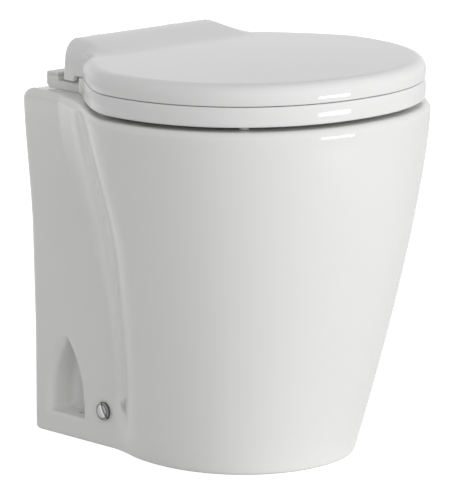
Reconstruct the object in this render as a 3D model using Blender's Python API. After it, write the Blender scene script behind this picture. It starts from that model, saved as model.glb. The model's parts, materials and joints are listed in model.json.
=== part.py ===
"""Electric marine toilet with a ceramic bowl, a hinged seat and lid, and a macerator pump in its base.

Metres, +Z up. The toilet faces -Y and is symmetric about X = 0. The origin is the middle of its footprint.
"""

import math
from collections import namedtuple

import bmesh
import bpy
from mathutils import Matrix, Vector

# Fits
FIT = 0.0003
RUNNING_GAP = 0.001
OVERRUN = 0.004

# Ceramic bowl, outside. Reaches are measured from the middle of the seat.
RIM_HEIGHT = 0.371
RIM_HALF_WIDTH = 0.1905
RIM_FRONT = 0.1825
RIM_REAR = 0.1615
BACK_REACH = 0.234
BACK_LEAN = 0.007
LEAN_TOP = 0.355
LEAN_RUN = 0.240
FOOT_HALF_WIDTH = 0.117
FOOT_FRONT = 0.110
FOOT_SETBACK = 0.016
BACK_HALF_WIDTH = 0.104
DECK_HALF_WIDTH = 0.1105
DECK_SPLAY = 0.005
DECK_SPLAY_RUN = 0.082
SPLAY_HEIGHT = 0.150
BACK_CORNER = 0.014
CREASE_BLEND = 0.002
DECK_BLEND = 0.030
SHOULDER = 0.009
FOOT_EDGE = 0.004
CERAMIC_WALL = 0.010
TAPER_POWER = 1.35
OVAL_POWER = 2.12

# Ceramic bowl, inside
DECK_THICKNESS = 0.018
BASIN_HALF_WIDTH = 0.126
BASIN_FRONT = 0.131
BASIN_REAR = 0.117
BASIN_LIP = 0.006
BASIN_LIP_CURVE_SHARE = 0.3
BASIN_STRAIGHT_DEPTH = 0.051
SUMP_HEIGHT = 0.190
OUTLET_RADIUS = 0.027
OUTLET_FORWARD = 0.020
SPIGOT_WALL = 0.008
SPIGOT_LENGTH = 0.030
BASIN_DROP_SHARES = (0.0, 0.18, 0.38, 0.6, 0.8)
BASIN_WIDTH_SHARES = (1.0, 0.9, 0.72, 0.46, 0.19)

# Openings in the ceramic
NICHE_CENTRE_BACK = 0.1685
NICHE_HALF_LENGTH = 0.028
NICHE_FLOOR_HEIGHT = 0.024
NICHE_HEIGHT = 0.084
NICHE_FOOT = 0.006
NICHE_DEPTH = 0.035
NICHE_POWER = 2.6
NICHE_STEP_SHARES = (0.0, 0.25, 0.45, 0.62, 0.76, 0.87, 0.95, 1.0)
FLOOR_HOLE_RADIUS = 0.003
FLOOR_HOLE_BACK = 0.165
FLOOR_HOLE_SIDE = 0.086
ACCESS_HALF_WIDTH = 0.050
ACCESS_HEIGHT = 0.230

# Side fixings
SIDE_SCREW_BACK = 0.1085
SIDE_SCREW_HEIGHT = 0.039
SIDE_SCREW_RADIUS = 0.0025
SCREW_HEAD_RADIUS = 0.0045
SCREW_HEAD_THICKNESS = 0.0025
CAP_RADIUS = 0.010
CAP_THICKNESS = 0.0045
CAP_WALL = 0.0015
BRACKET_THICKNESS = 0.005
BRACKET_WIDTH = 0.026
BRACKET_HEIGHT = 0.058
BRACKET_FOOT = 0.034

# Seat and lid
SEAT_HALF_WIDTH = 0.184
SEAT_FRONT = 0.1775
SEAT_REAR = 0.155
SEAT_LIFT = 0.0047
SEAT_THICKNESS = 0.0207
SEAT_EDGE = 0.004
SEAT_OPENING_HALF_WIDTH = 0.108
SEAT_OPENING_FRONT = 0.118
SEAT_OPENING_REAR = 0.100
SEAT_OPENING_EDGE = 0.007
SEAT_POWER = 2.15
FLANK_HALF_WIDTH = 0.2078
FLANK_SLOPE = 0.68
FLANK_BLEND = 0.016
SEAT_BRIDGE_BACK = 0.137
ARM_OUTER_HALF_WIDTH = 0.106
ARM_END_BACK = 0.1485
ARM_END_RADIUS = 0.008
ARM_BLEND = 0.020
DIP = 0.0065
DIP_START_BACK = 0.098
DIP_RUN = 0.032
HEEL_DROP = 0.003
HEEL_START_BACK = 0.095
LID_GAP = 0.0008
LID_HEIGHT = 0.0218
LID_EDGE = 0.010
LID_WALL = 0.005
LID_ARM_HALF_WIDTH = 0.104
LID_BACK = 0.1785
LID_BACK_CORNER = 0.014
EAR_DROP = 0.006
EAR_START_BACK = 0.153
HUMP_RISE = 0.010
HUMP_START_BACK = 0.085
HUMP_RUN = 0.075
HUMP_HALF_WIDTH = 0.091
HUMP_SIDE_RUN = 0.024
CROWN = 0.0015
CROWN_RING_SHARE = 0.6
BUMPER_PLACE_SHARES = {
    "front_left": (-1, 0.66, -0.70),
    "front_right": (1, 0.66, -0.70),
    "rear_left": (-1, 0.86, 0.30),
    "rear_right": (1, 0.86, 0.30),
}
LID_BUMPER_SIDE_SHARE = 0.72
LID_BUMPER_FRONT_SHARE = 0.45

# Hinge
HINGE_BACK = 0.168
HINGE_RISE = 0.035
HINGE_BOSS_RADIUS = 0.0075
HINGE_PIN_RADIUS = 0.0035
PIN_FIT = 0.0003
ARM_THICKNESS = 0.012
ARM_PIN_SIDE = 0.076
LUG_THICKNESS = 0.012
BLOCK_HALF_WIDTH = 0.094
BLOCK_BACK = 0.2075
BLOCK_FRONT = 0.150
BLOCK_PLATE = 0.0037
BLOCK_BAR_DEPTH = 0.018
BLOCK_BAR_HEIGHT = 0.0142
BLOCK_UNDERCUT = 0.0042
COVER_THICKNESS = 0.003
SEAT_BOLT_SIDE = 0.0725
SEAT_BOLT_RADIUS = 0.003
SEAT_BOLT_LENGTH = 0.048
BOLT_HEAD_RADIUS = 0.006
BOLT_HEAD_THICKNESS = 0.004
NUT_THICKNESS = 0.007
NUT_HUB_RADIUS = 0.0065
NUT_SPAN = 0.013
BUMPER_RADIUS = 0.0055
LID_BUMPER_RADIUS = 0.006

# Pump, front to back along Y
PUMP_AXIS_HEIGHT = 0.075
HOUSING_RADIUS = 0.045
HOUSING_WALL = 0.005
HOUSING_LENGTH = 0.073
NECK_WALL = 0.009
GASKET_THICKNESS = 0.0074
BLADE_RADIUS = 0.034
BLADE_WIDTH = 0.012
BLADE_THICKNESS = 0.005
BLADE_GAP = 0.021
CHOPPER_THICKNESS = 0.003
CHOPPER_HOLE_RADIUS = 0.005
CHOPPER_HOLES = 8
CHOPPER_CIRCLE_SHARE = 0.62
IMPELLER_RADIUS = 0.034
IMPELLER_THICKNESS = 0.009
IMPELLER_PLATE = 0.003
IMPELLER_VANES = 5
VANE_THICKNESS = 0.003
VANE_REACH_SHARE = 0.96
STAGE_GAP = 0.0035
PORT_RADIUS = 0.012
PORT_WALL = 0.0045
PORT_LENGTH = 0.012
PORT_ROOT_SHARE = 0.75
FLANGE_THICKNESS = 0.008
SEAL_RADIUS = 0.010
SHAFT_RADIUS = 0.004
MOTOR_RADIUS = 0.036
MOTOR_WALL = 0.003
MOTOR_LENGTH = 0.096
MAGNET_THICKNESS = 0.006
MAGNET_LENGTH = 0.052
MAGNET_SPAN_DEGREES = 130
ARMATURE_LENGTH = 0.046
ARMATURE_SLOTS = 10
ARMATURE_SLOT_DEPTH = 0.005
ARMATURE_START = 0.018
ARMATURE_TOOTH_SHARES = ((0.0, 0.0), (0.35, 0.0), (0.7, 0.0), (0.72, 1.0), (0.98, 1.0))
COMMUTATOR_RADIUS = 0.011
COMMUTATOR_LENGTH = 0.014
COMMUTATOR_GAP = 0.006
BRUSH_WIDTH = 0.007
BEARING_RADIUS = 0.009
BEARING_WIDTH = 0.006
END_BELL_THICKNESS = 0.012
CRADLE_LENGTH = 0.050
CRADLE_HALF_WIDTH = 0.032
CRADLE_START = 0.022
CRADLE_SEAT_SHARE = 0.8
MOUNT_HEIGHT = 0.007
MOUNT_RADIUS = 0.009
MOUNT_SPACING = 0.034
GLAND_RADIUS = 0.007
GLAND_LENGTH = 0.014
GLAND_NUT_SHARE = 0.6
GLAND_TIP_SHARE = 0.8

# Discharge
HOSE_WALL = 0.0035
HOSE_RADIUS = 0.0165
DISCHARGE_HEIGHT = 0.146
DISCHARGE_SIDE = 0.022
DISCHARGE_TAIL_END = 0.196
DISCHARGE_TAIL_LENGTH = 0.030
VALVE_LENGTH = 0.022
VALVE_RADIUS = 0.019
VALVE_LIP_SHARE = 0.25
VALVE_SEAT_SHARE = 0.3
DUCKBILL_WALL_SHARE = 0.6
HOSE_LEAD_SHARE = 1.25
HOSE_TURN_SHARES = (0.75, 0.6, 0.3)
HOSE_CLIMB_SHARES = (0.4, 0.28, 0.8)
HOSE_TOP_SHARES = (0.38, 0.58)
CLAMP_WIDTH = 0.007
CLAMP_THICKNESS = 0.0012
CLAMP_BOX = 0.007

# Rinse water
WATER_SIDE = 0.050
VALVE_BLOCK = 0.030
VALVE_BLOCK_DEPTH = 0.123
COIL_RADIUS = 0.013
COIL_LENGTH = 0.030
PLUNGER_RADIUS = 0.0045
PLUNGER_LENGTH = 0.022
PLUNGER_TRAVEL = 0.003
PLUNGER_SOCKET = 0.010
BREAKER_RADIUS = 0.014
BREAKER_WALL = 0.003
BREAKER_HEIGHT = 0.036
BREAKER_STEM = 0.008
BREAKER_STEM_SHARE = 0.7
BREAKER_CAP_SHARE = 0.8
FLOAT_RADIUS = 0.009
FLOAT_HEIGHT = 0.009
FLOAT_TRAVEL = 0.004
CAP_RIM = 0.003
TAIL_RADIUS = 0.0095
TAIL_BORE = 0.006
TAIL_LENGTH = 0.032
BARB_HEIGHT = 0.0012
BARBS = 3
COLLAR_SHARE = 0.15
BARB_SLOPE_SHARE = 0.15
NOZZLE_DEPTH = 0.035
NOZZLE_STEM_RADIUS = 0.008
NOZZLE_BORE = 0.005
NOZZLE_HEAD_RADIUS = 0.015
NOZZLE_HEAD_THICKNESS = 0.005
NOZZLE_SLOT_SHARE = 0.7
NOZZLE_STANDOFF = 0.0012
NOZZLE_NUT_RADIUS = 0.013
NOZZLE_NUT_THICKNESS = 0.007
NOZZLE_TAIL = 0.012
RINSE_HOSE_RADIUS = 0.0065
RINSE_LEAD_SHARE = 0.6
RINSE_BOW_SHARE = 0.3

# Mesh steps
FRONT_STEPS = 9
FLANK_STEPS = 5
SIDE_STEPS = 4
CORNER_STEPS = 3
BACK_STEPS = 2
CASE_STEPS = 32
ROUND_STEPS = 24
SMALL_STEPS = 16
HOSE_STEPS = 12

# Derived places
SEAT_Y = (RIM_FRONT + BACK_REACH) / 2 - BACK_REACH
BACK_Y = SEAT_Y + BACK_REACH
SEAT_Z = RIM_HEIGHT + SEAT_LIFT
SEAT_TOP_Z = SEAT_Z + SEAT_THICKNESS
LID_Z = SEAT_TOP_Z + LID_GAP
LID_TOP_Z = LID_Z + LID_HEIGHT
HINGE_Y = SEAT_Y + HINGE_BACK
HINGE_HEIGHT = RIM_HEIGHT + HINGE_RISE
OUTLET_Y = SEAT_Y - OUTLET_FORWARD
CAVITY_TOP_Z = RIM_HEIGHT - DECK_THICKNESS
SPIGOT_END_Z = SUMP_HEIGHT - SPIGOT_LENGTH
SHOULDER_Z = RIM_HEIGHT - SHOULDER
BASIN_STRAIGHT_Z = RIM_HEIGHT - BASIN_STRAIGHT_DEPTH
HOUSING_FRONT_Y = OUTLET_Y - HOUSING_LENGTH / 2
HOUSING_BACK_Y = HOUSING_FRONT_Y + HOUSING_LENGTH
BLADE_Y = HOUSING_FRONT_Y + HOUSING_WALL + BLADE_GAP
CHOPPER_Y = BLADE_Y + BLADE_THICKNESS + RUNNING_GAP
IMPELLER_Y = CHOPPER_Y + CHOPPER_THICKNESS + STAGE_GAP
PORT_Y = HOUSING_BACK_Y - PORT_RADIUS - PORT_WALL
FLANGE_Y = HOUSING_BACK_Y + FIT
MOTOR_Y = FLANGE_Y + FLANGE_THICKNESS + FIT
BELL_Y = MOTOR_Y + MOTOR_LENGTH + FIT
COMMUTATOR_Y = MOTOR_Y + ARMATURE_START + ARMATURE_LENGTH + COMMUTATOR_GAP
ARMATURE_RADIUS = MOTOR_RADIUS - MOTOR_WALL - FIT - MAGNET_THICKNESS - RUNNING_GAP
BLOCK_Z = RIM_HEIGHT + FIT
BLOCK_TOP_Z = BLOCK_Z + BLOCK_BAR_HEIGHT
LUG_SIDE = ARM_PIN_SIDE - 2 * RUNNING_GAP - LUG_THICKNESS
LID_LUG_SIDE = LUG_SIDE - 2 * RUNNING_GAP - LUG_THICKNESS
SEAT_BOLT_Y = SEAT_Y + BLOCK_BACK - BLOCK_BAR_DEPTH / 2
VALVE_BLOCK_Z = RIM_HEIGHT - VALVE_BLOCK_DEPTH
NOZZLE_Z = RIM_HEIGHT - NOZZLE_DEPTH
EAR_Z = LID_Z - DIP - EAR_DROP
LID_ROOF_Z = LID_TOP_Z + HUMP_RISE - LID_WALL

Plan = namedtuple("Plan", "half_width front rear centre_y power arm splay back_y corner blend flank")


# Scene, materials and meshes


def clear_scene():
    for obj in list(bpy.data.objects):
        bpy.data.objects.remove(obj, do_unlink=True)


def make_material(name, colour, roughness, metallic=0.0):
    material = bpy.data.materials.new(name)
    material.use_nodes = True
    shader = material.node_tree.nodes["Principled BSDF"]
    shader.inputs["Base Color"].default_value = (*colour, 1.0)
    shader.inputs["Roughness"].default_value = roughness
    shader.inputs["Metallic"].default_value = metallic
    material.diffuse_color = (*colour, 1.0)
    return material


def make_object(name, bm, material=None):
    """A named object in the world frame, its faces turned outwards and its round sides shaded smooth."""
    bmesh.ops.recalc_face_normals(bm, faces=bm.faces)
    mesh = bpy.data.meshes.new(name)
    bm.to_mesh(mesh)
    bm.free()
    mesh.shade_smooth()
    mesh.set_sharp_from_angle(angle=math.radians(35))
    obj = bpy.data.objects.new(name, mesh)
    bpy.context.collection.objects.link(obj)
    if material is not None:
        mesh.materials.append(material)
    return obj


def make_cutter(name, bm):
    cutter = make_object(name, bm)
    cutter.hide_render = True
    cutter.display_type = "WIRE"
    return cutter


def combine(obj, other, operation):
    modifier = obj.modifiers.new(other.name, "BOOLEAN")
    modifier.operation = operation
    modifier.solver = "EXACT"
    modifier.object = other


def set_origin(obj, point):
    """Moves the object's origin onto a joint's axis and leaves its shape where it is."""
    obj.data.transform(Matrix.Translation(-Vector(point)))
    obj.location = point


# Solids


def add_rings(bm, rings, closed):
    """Skins rings of points that match one to one. A ring of one point is a tip."""
    rows = [[bm.verts.new(point) for point in ring] for ring in rings]
    pairs = list(zip(rows, rows[1:]))
    if closed:
        pairs.append((rows[-1], rows[0]))
    for low, high in pairs:
        skin(bm, low, high)
    if not closed:
        for row in (rows[0], rows[-1]):
            if len(row) > 1:
                bm.faces.new(row)


def skin(bm, low, high):
    count = max(len(low), len(high))
    for i in range(count):
        j = (i + 1) % count
        if len(low) == 1:
            bm.faces.new((low[0], high[i], high[j]))
        elif len(high) == 1:
            bm.faces.new((low[i], low[j], high[0]))
        else:
            bm.faces.new((low[i], low[j], high[j], high[i]))


AXIS_TURNS = {
    "X": Matrix.Rotation(math.pi / 2, 3, "Y"),
    "Y": Matrix.Rotation(-math.pi / 2, 3, "X"),
    "Z": Matrix.Identity(3),
}


def add_turned(bm, profile, axis, centre, steps=ROUND_STEPS, closed=False):
    """Turns a profile of (radius, distance along the axis). A closed profile is a ring with a bore."""
    turn = AXIS_TURNS[axis]
    rings = []
    for radius, along in profile:
        angles = [2 * math.pi * i / steps for i in range(steps)] if radius else [0.0]
        local = [Vector((radius * math.cos(a), radius * math.sin(a), along)) for a in angles]
        rings.append([Vector(centre) + turn @ point for point in local])
    add_rings(bm, rings, closed)


def add_rod(bm, radius, length, axis, centre, steps=SMALL_STEPS):
    add_turned(bm, [(radius, 0.0), (radius, length)], axis, centre, steps)


def add_ring(bm, inner, outer, length, axis, centre, steps=ROUND_STEPS):
    profile = [(inner, 0.0), (outer, 0.0), (outer, length), (inner, length)]
    add_turned(bm, profile, axis, centre, steps, closed=True)


def add_box(bm, low, high):
    low, high = Vector(low), Vector(high)
    corners = [(low.x, low.y), (high.x, low.y), (high.x, high.y), (low.x, high.y)]
    add_rings(bm, [[Vector((x, y, z)) for x, y in corners] for z in (low.z, high.z)], closed=False)


def add_prism(bm, outline, start, end, axis):
    """Extrudes an outline between two places on an axis. The outline is in (Y, Z), (X, Z) or (X, Y)."""
    place = {
        "X": lambda s, a, b: Vector((s, a, b)),
        "Y": lambda s, a, b: Vector((a, s, b)),
        "Z": lambda s, a, b: Vector((a, b, s)),
    }[axis]
    add_rings(bm, [[place(s, a, b) for a, b in outline] for s in (start, end)], closed=False)


def arc(centre, radius, start, end, steps):
    """Points on an arc in its plane, from one angle to another in degrees."""
    angles = [math.radians(start + (end - start) * i / steps) for i in range(steps + 1)]
    return [(centre[0] + radius * math.cos(a), centre[1] + radius * math.sin(a)) for a in angles]


def smooth_path(points, steps):
    """A Catmull-Rom curve through points chosen by hand."""
    ends = [2 * points[0] - points[1], *points, 2 * points[-1] - points[-2]]
    path = []
    for before, start, end, after in zip(ends, ends[1:], ends[2:], ends[3:]):
        for i in range(steps):
            t = i / steps
            path.append(
                0.5
                * (
                    2 * start
                    + (end - before) * t
                    + (2 * before - 5 * start + 4 * end - after) * t**2
                    + (3 * start - before - 3 * end + after) * t**3
                )
            )
    return [*path, points[-1]]


def add_hose(bm, points, inner, outer, steps=HOSE_STEPS):
    """A hose with its bore, swept along a curve through points. Both its ends are cut square."""
    path = smooth_path(points, 3)
    middles = [(after - before).normalized() for before, after in zip(path, path[2:])]
    first, last = points[1] - points[0], points[-1] - points[-2]
    tangents = [first.normalized(), *middles, last.normalized()]
    side = tangents[0].orthogonal().normalized()
    outer_rings, inner_rings = [], []
    for point, tangent in zip(path, tangents):
        side = (side - tangent * side.dot(tangent)).normalized()
        other = tangent.cross(side)
        spokes = [
            side * math.cos(2 * math.pi * i / steps) + other * math.sin(2 * math.pi * i / steps)
            for i in range(steps)
        ]
        outer_rings.append([point + spoke * outer for spoke in spokes])
        inner_rings.append([point + spoke * inner for spoke in spokes])
    add_rings(bm, outer_rings + inner_rings[::-1], closed=True)


# The outline shared by the bowl, the seat and the lid


def ease(share):
    share = min(max(share, 0.0), 1.0)
    return share * share * (3 - 2 * share)


def soft_max(a, b, blend):
    reach = max(blend - abs(a - b), 0.0)
    return max(a, b) + reach * reach / (4 * blend)


def inset(plan, distance):
    return plan._replace(
        half_width=plan.half_width - distance,
        front=plan.front - distance,
        rear=plan.rear - distance,
        arm=plan.arm - distance,
        back_y=plan.back_y - distance,
        corner=max(plan.corner - distance, plan.corner / 4),
        flank=plan.flank and plan.flank - distance * math.hypot(1.0, FLANK_SLOPE),
    )


def oval_half_width(plan, y):
    reach = plan.front if y < plan.centre_y else plan.rear
    share = abs(y - plan.centre_y) / reach
    return plan.half_width * max(1 - share**plan.power, 0.0) ** (1 / plan.power)


def arm_half_width(plan, y):
    share = min(max((plan.back_y - y) / DECK_SPLAY_RUN, 0.0), 1.0)
    return plan.arm + plan.splay * share


def outline_half_width(plan, y):
    """The oval, cut off at the back by a straight flank if the plan has one, and joined to the arm."""
    oval = oval_half_width(plan, y)
    if plan.flank:
        oval = -soft_max(-oval, FLANK_SLOPE * (y - plan.centre_y) - plan.flank, FLANK_BLEND)
    return soft_max(oval, arm_half_width(plan, y), plan.blend)


def half_outline(plan):
    """(x, y) points from the front centre round one side to the back centre."""
    points = []
    exponent = 2 / plan.power
    for i in range(FRONT_STEPS):
        turn = math.pi / 2 * i / FRONT_STEPS
        x = plan.half_width * math.sin(turn) ** exponent
        points.append((x, plan.centre_y - plan.front * math.cos(turn) ** exponent))
    meeting = math.asin(min((plan.arm + plan.splay) / plan.half_width, 1.0) ** (plan.power / 2))
    for i in range(FLANK_STEPS):
        turn = math.pi / 2 - (math.pi / 2 - meeting) * i / FLANK_STEPS
        y = plan.centre_y + plan.rear * math.cos(turn) ** exponent
        points.append((outline_half_width(plan, y), y))
    meeting_y = plan.centre_y + plan.rear * math.cos(meeting) ** exponent
    corner_y = plan.back_y - plan.corner
    for i in range(SIDE_STEPS):
        y = meeting_y + (corner_y - meeting_y) * (i / SIDE_STEPS) ** 2
        points.append((outline_half_width(plan, y), y))
    corner_x = outline_half_width(plan, corner_y) - plan.corner
    points += arc((corner_x, corner_y), plan.corner, 0, 90, CORNER_STEPS)
    points += [(corner_x * (1 - i / BACK_STEPS), plan.back_y) for i in range(1, BACK_STEPS + 1)]
    return points


def full_outline(plan):
    half = half_outline(plan)
    return half + [(-x, y) for x, y in half[-2:0:-1]]


def directions(plan):
    """The bearing of each outline point from the middle of the plan, for inner rings that line up with it."""
    return [math.atan2(x, plan.centre_y - y) for x, y in full_outline(plan)]


def oval_ring(bearings, half_width, front, rear, centre_y, z, power):
    points = []
    for bearing in bearings:
        across, along = math.sin(bearing), math.cos(bearing)
        reach = front if along > 0 else rear
        size = (abs(across / half_width) ** power + abs(along / reach) ** power) ** (-1 / power)
        points.append(Vector((across * size, centre_y - along * size, z)))
    return points


def ring_at(plan, z):
    return [Vector((x, y, z)) for x, y in full_outline(plan)]


# Ceramic bowl


def back_plane(z):
    """The back, which leans in below the deck."""
    return BACK_Y - BACK_LEAN * min(max((LEAN_TOP - z) / LEAN_RUN, 0.0), 1.0)


def bowl_plan(z):
    """The bowl's outline at a height: a tapering oval in front, smoothed into a square back."""
    taper = 1 - (1 - min(z / SHOULDER_Z, 1.0)) ** TAPER_POWER
    blend = CREASE_BLEND + (DECK_BLEND - CREASE_BLEND) * min(z / SHOULDER_Z, 1.0) ** 2
    flare = ease((z - SHOULDER_Z + SPLAY_HEIGHT) / SPLAY_HEIGHT)
    foot_reach = FOOT_FRONT + FOOT_SETBACK
    return Plan(
        half_width=FOOT_HALF_WIDTH + (RIM_HALF_WIDTH - FOOT_HALF_WIDTH) * taper,
        front=foot_reach + (RIM_FRONT - foot_reach) * taper,
        rear=foot_reach + (RIM_REAR - foot_reach) * taper,
        centre_y=SEAT_Y + FOOT_SETBACK * (1 - taper),
        power=OVAL_POWER,
        arm=BACK_HALF_WIDTH + (DECK_HALF_WIDTH - BACK_HALF_WIDTH) * flare,
        splay=DECK_SPLAY * flare,
        back_y=back_plane(z),
        corner=BACK_CORNER,
        blend=blend,
        flank=None,
    )


def bowl_outside():
    edge = [(FOOT_EDGE * (1 - math.sin(a)), FOOT_EDGE * (1 - math.cos(a))) for a in (0, math.pi / 4)]
    rings = [ring_at(inset(bowl_plan(z), depth), z) for depth, z in edge]
    walls = 10
    for i in range(walls + 1):
        z = FOOT_EDGE + (SHOULDER_Z - FOOT_EDGE) * i / walls
        rings.append(ring_at(bowl_plan(z), z))
    for i in range(1, 4):
        turn = math.pi / 2 * i / 3
        z = SHOULDER_Z + SHOULDER * math.sin(turn)
        rings.append(ring_at(inset(bowl_plan(SHOULDER_Z), SHOULDER * (1 - math.cos(turn))), z))
    return rings


def basin_ring(bearings, share, drop, extra=0.0):
    """A ring of the basin wall: share of its full width, drop as a share of the way to the sump."""
    z = BASIN_STRAIGHT_Z + (SUMP_HEIGHT - BASIN_STRAIGHT_Z) * drop
    narrow = OUTLET_RADIUS
    return oval_ring(
        bearings,
        narrow + (BASIN_HALF_WIDTH - narrow) * share + extra,
        narrow + (BASIN_FRONT - narrow) * share + extra,
        narrow + (BASIN_REAR - narrow) * share + extra,
        OUTLET_Y + (SEAT_Y - OUTLET_Y) * share,
        z - extra * (1 - share),
        2 + (OVAL_POWER - 2) * share,
    )


def bowl_inside(bearings):
    """The basin from its lip down to the spigot, then back up its underside."""
    sides = (BASIN_HALF_WIDTH, BASIN_FRONT, BASIN_REAR)
    curve = BASIN_LIP_CURVE_SHARE * BASIN_LIP
    rings = []
    for out, down in ((BASIN_LIP, 0.0), (curve, curve), (0.0, BASIN_LIP)):
        grown = [side + out for side in sides]
        rings.append(oval_ring(bearings, *grown, SEAT_Y, RIM_HEIGHT - down, OVAL_POWER))
    shares = list(zip(BASIN_WIDTH_SHARES, BASIN_DROP_SHARES))
    rings += [basin_ring(bearings, share, drop) for share, drop in shares]
    bore = [OUTLET_RADIUS] * 3
    pipe = [OUTLET_RADIUS + SPIGOT_WALL] * 3
    rings.append(oval_ring(bearings, *bore, OUTLET_Y, SUMP_HEIGHT, 2))
    rings.append(oval_ring(bearings, *bore, OUTLET_Y, SPIGOT_END_Z, 2))
    rings.append(oval_ring(bearings, *pipe, OUTLET_Y, SPIGOT_END_Z, 2))
    rings.append(oval_ring(bearings, *pipe, OUTLET_Y, SUMP_HEIGHT - CERAMIC_WALL, 2))
    rings += [basin_ring(bearings, share, drop, CERAMIC_WALL) for share, drop in shares[:0:-1]]
    grown = [side + CERAMIC_WALL for side in sides]
    rings.append(oval_ring(bearings, *grown, SEAT_Y, BASIN_STRAIGHT_Z, OVAL_POWER))
    rings.append(oval_ring(bearings, *grown, SEAT_Y, CAVITY_TOP_Z, OVAL_POWER))
    return rings


def bowl_cavity():
    rings = []
    walls = 5
    for i in range(walls + 1):
        z = CAVITY_TOP_Z * (1 - i / walls)
        rings.append(ring_at(inset(bowl_plan(z), CERAMIC_WALL), z))
    return rings


def niche_outline():
    """(y, z) points of the pointed niche, upright at its foot, from its back over its tip to its front."""
    centre = SEAT_Y + NICHE_CENTRE_BACK
    flank = [(NICHE_HALF_LENGTH, NICHE_FLOOR_HEIGHT)]
    for share in NICHE_STEP_SHARES:
        reach = NICHE_HALF_LENGTH * (1 - share**NICHE_POWER)
        flank.append((reach, NICHE_FLOOR_HEIGHT + NICHE_FOOT + (NICHE_HEIGHT - NICHE_FOOT) * share))
    back = [(centre + reach, z) for reach, z in flank]
    front = [(centre - reach, z) for reach, z in flank[-2::-1]]
    return back + front


def add_pockets(bm):
    """The solid walls behind the two niches."""
    centre = SEAT_Y + NICHE_CENTRE_BACK
    reach = NICHE_HALF_LENGTH + CERAMIC_WALL
    inner = BACK_HALF_WIDTH - NICHE_DEPTH - CERAMIC_WALL
    outer = BACK_HALF_WIDTH - CERAMIC_WALL / 2
    back = min(centre + reach, back_plane(0.0) - CERAMIC_WALL / 2)
    top = NICHE_FLOOR_HEIGHT + NICHE_HEIGHT + CERAMIC_WALL
    for side in (-1, 1):
        low_x, high_x = sorted((side * inner, side * outer))
        add_box(bm, (low_x, centre - reach, 0.0), (high_x, back, top))


def add_bowl_cuts(bm):
    for side in (-1, 1):
        inner = side * (BACK_HALF_WIDTH - NICHE_DEPTH)
        outer = side * (BACK_HALF_WIDTH + OVERRUN)
        add_prism(bm, niche_outline(), inner, outer, "X")
        bolt_hole = (side * SEAT_BOLT_SIDE, SEAT_BOLT_Y, CAVITY_TOP_Z - OVERRUN)
        add_rod(bm, SEAT_BOLT_RADIUS + FIT, DECK_THICKNESS + 2 * OVERRUN, "Z", bolt_hole, HOSE_STEPS)
        start = BACK_HALF_WIDTH - CERAMIC_WALL - OVERRUN
        screw_hole = (min(side * start, side * (start + CERAMIC_WALL + 2 * OVERRUN)),
                      SEAT_Y + SIDE_SCREW_BACK, SIDE_SCREW_HEIGHT)
        add_rod(bm, SIDE_SCREW_RADIUS + FIT, CERAMIC_WALL + 2 * OVERRUN, "X", screw_hole, HOSE_STEPS)
    nozzle_hole = (0.0, SEAT_Y + BASIN_REAR - OVERRUN, NOZZLE_Z)
    add_rod(bm, NOZZLE_STEM_RADIUS + FIT, CERAMIC_WALL + 2 * OVERRUN, "Y", nozzle_hole)


def add_floor_holes(bm):
    """The floor screws' holes, drilled apart from the niches that they open into."""
    for side in (-1, 1):
        start = (side * FLOOR_HOLE_SIDE, SEAT_Y + FLOOR_HOLE_BACK, -OVERRUN)
        add_rod(bm, FLOOR_HOLE_RADIUS, NICHE_FLOOR_HEIGHT + 2 * OVERRUN, "Z", start, HOSE_STEPS)


def add_access_cut(bm):
    """The arched opening at the back, down to the floor."""
    spring = ACCESS_HEIGHT - ACCESS_HALF_WIDTH
    outline = [(-ACCESS_HALF_WIDTH, -OVERRUN), (ACCESS_HALF_WIDTH, -OVERRUN)]
    outline += arc((0.0, spring), ACCESS_HALF_WIDTH, 0, 180, 12)
    add_prism(bm, outline, back_plane(0.0) - CERAMIC_WALL - OVERRUN, BACK_Y + OVERRUN, "Y")


def make_bowl(material):
    bearings = directions(bowl_plan(SHOULDER_Z))
    bm = bmesh.new()
    add_rings(bm, bowl_outside() + bowl_inside(bearings) + bowl_cavity(), closed=True)
    bowl = make_object("ceramic_bowl", bm, material)
    for name, add, operation in (
        ("niche_walls", add_pockets, "UNION"),
        ("bowl_cuts", add_bowl_cuts, "DIFFERENCE"),
        ("floor_holes", add_floor_holes, "DIFFERENCE"),
        ("access_cut", add_access_cut, "DIFFERENCE"),
    ):
        helper = bmesh.new()
        add(helper)
        combine(bowl, make_cutter(name, helper), operation)


def make_side_fixings(bracket_material, steel, chrome):
    """Each side screw runs through the ceramic into a floor bracket inside, under a round cap."""
    y = SEAT_Y + SIDE_SCREW_BACK
    for side, name in ((-1, "left"), (1, "right")):
        wall = BACK_HALF_WIDTH - CERAMIC_WALL - FIT
        hole = bmesh.new()
        outline = [
            (side * wall, 0.0),
            (side * wall, BRACKET_HEIGHT),
            (side * (wall - BRACKET_THICKNESS), BRACKET_HEIGHT),
            (side * (wall - BRACKET_THICKNESS), BRACKET_THICKNESS),
            (side * (wall - BRACKET_FOOT), BRACKET_THICKNESS),
            (side * (wall - BRACKET_FOOT), 0.0),
        ]
        bm = bmesh.new()
        add_prism(bm, outline, y - BRACKET_WIDTH / 2, y + BRACKET_WIDTH / 2, "Y")
        bracket = make_object(f"floor_bracket_{name}", bm, bracket_material)
        reach = BRACKET_THICKNESS + 2 * OVERRUN
        start = min(side * (wall + OVERRUN), side * (wall + OVERRUN - reach))
        add_rod(hole, SIDE_SCREW_RADIUS + FIT, reach, "X", (start, y, SIDE_SCREW_HEIGHT), HOSE_STEPS)
        combine(bracket, make_cutter(f"bracket_hole_{name}", hole), "DIFFERENCE")
        face = BACK_HALF_WIDTH + FIT
        make_screw(f"side_screw_{name}", side, face, wall - BRACKET_THICKNESS - OVERRUN, y, steel)
        make_screw_cap(f"screw_cap_{name}", side, face, y, chrome)


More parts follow.
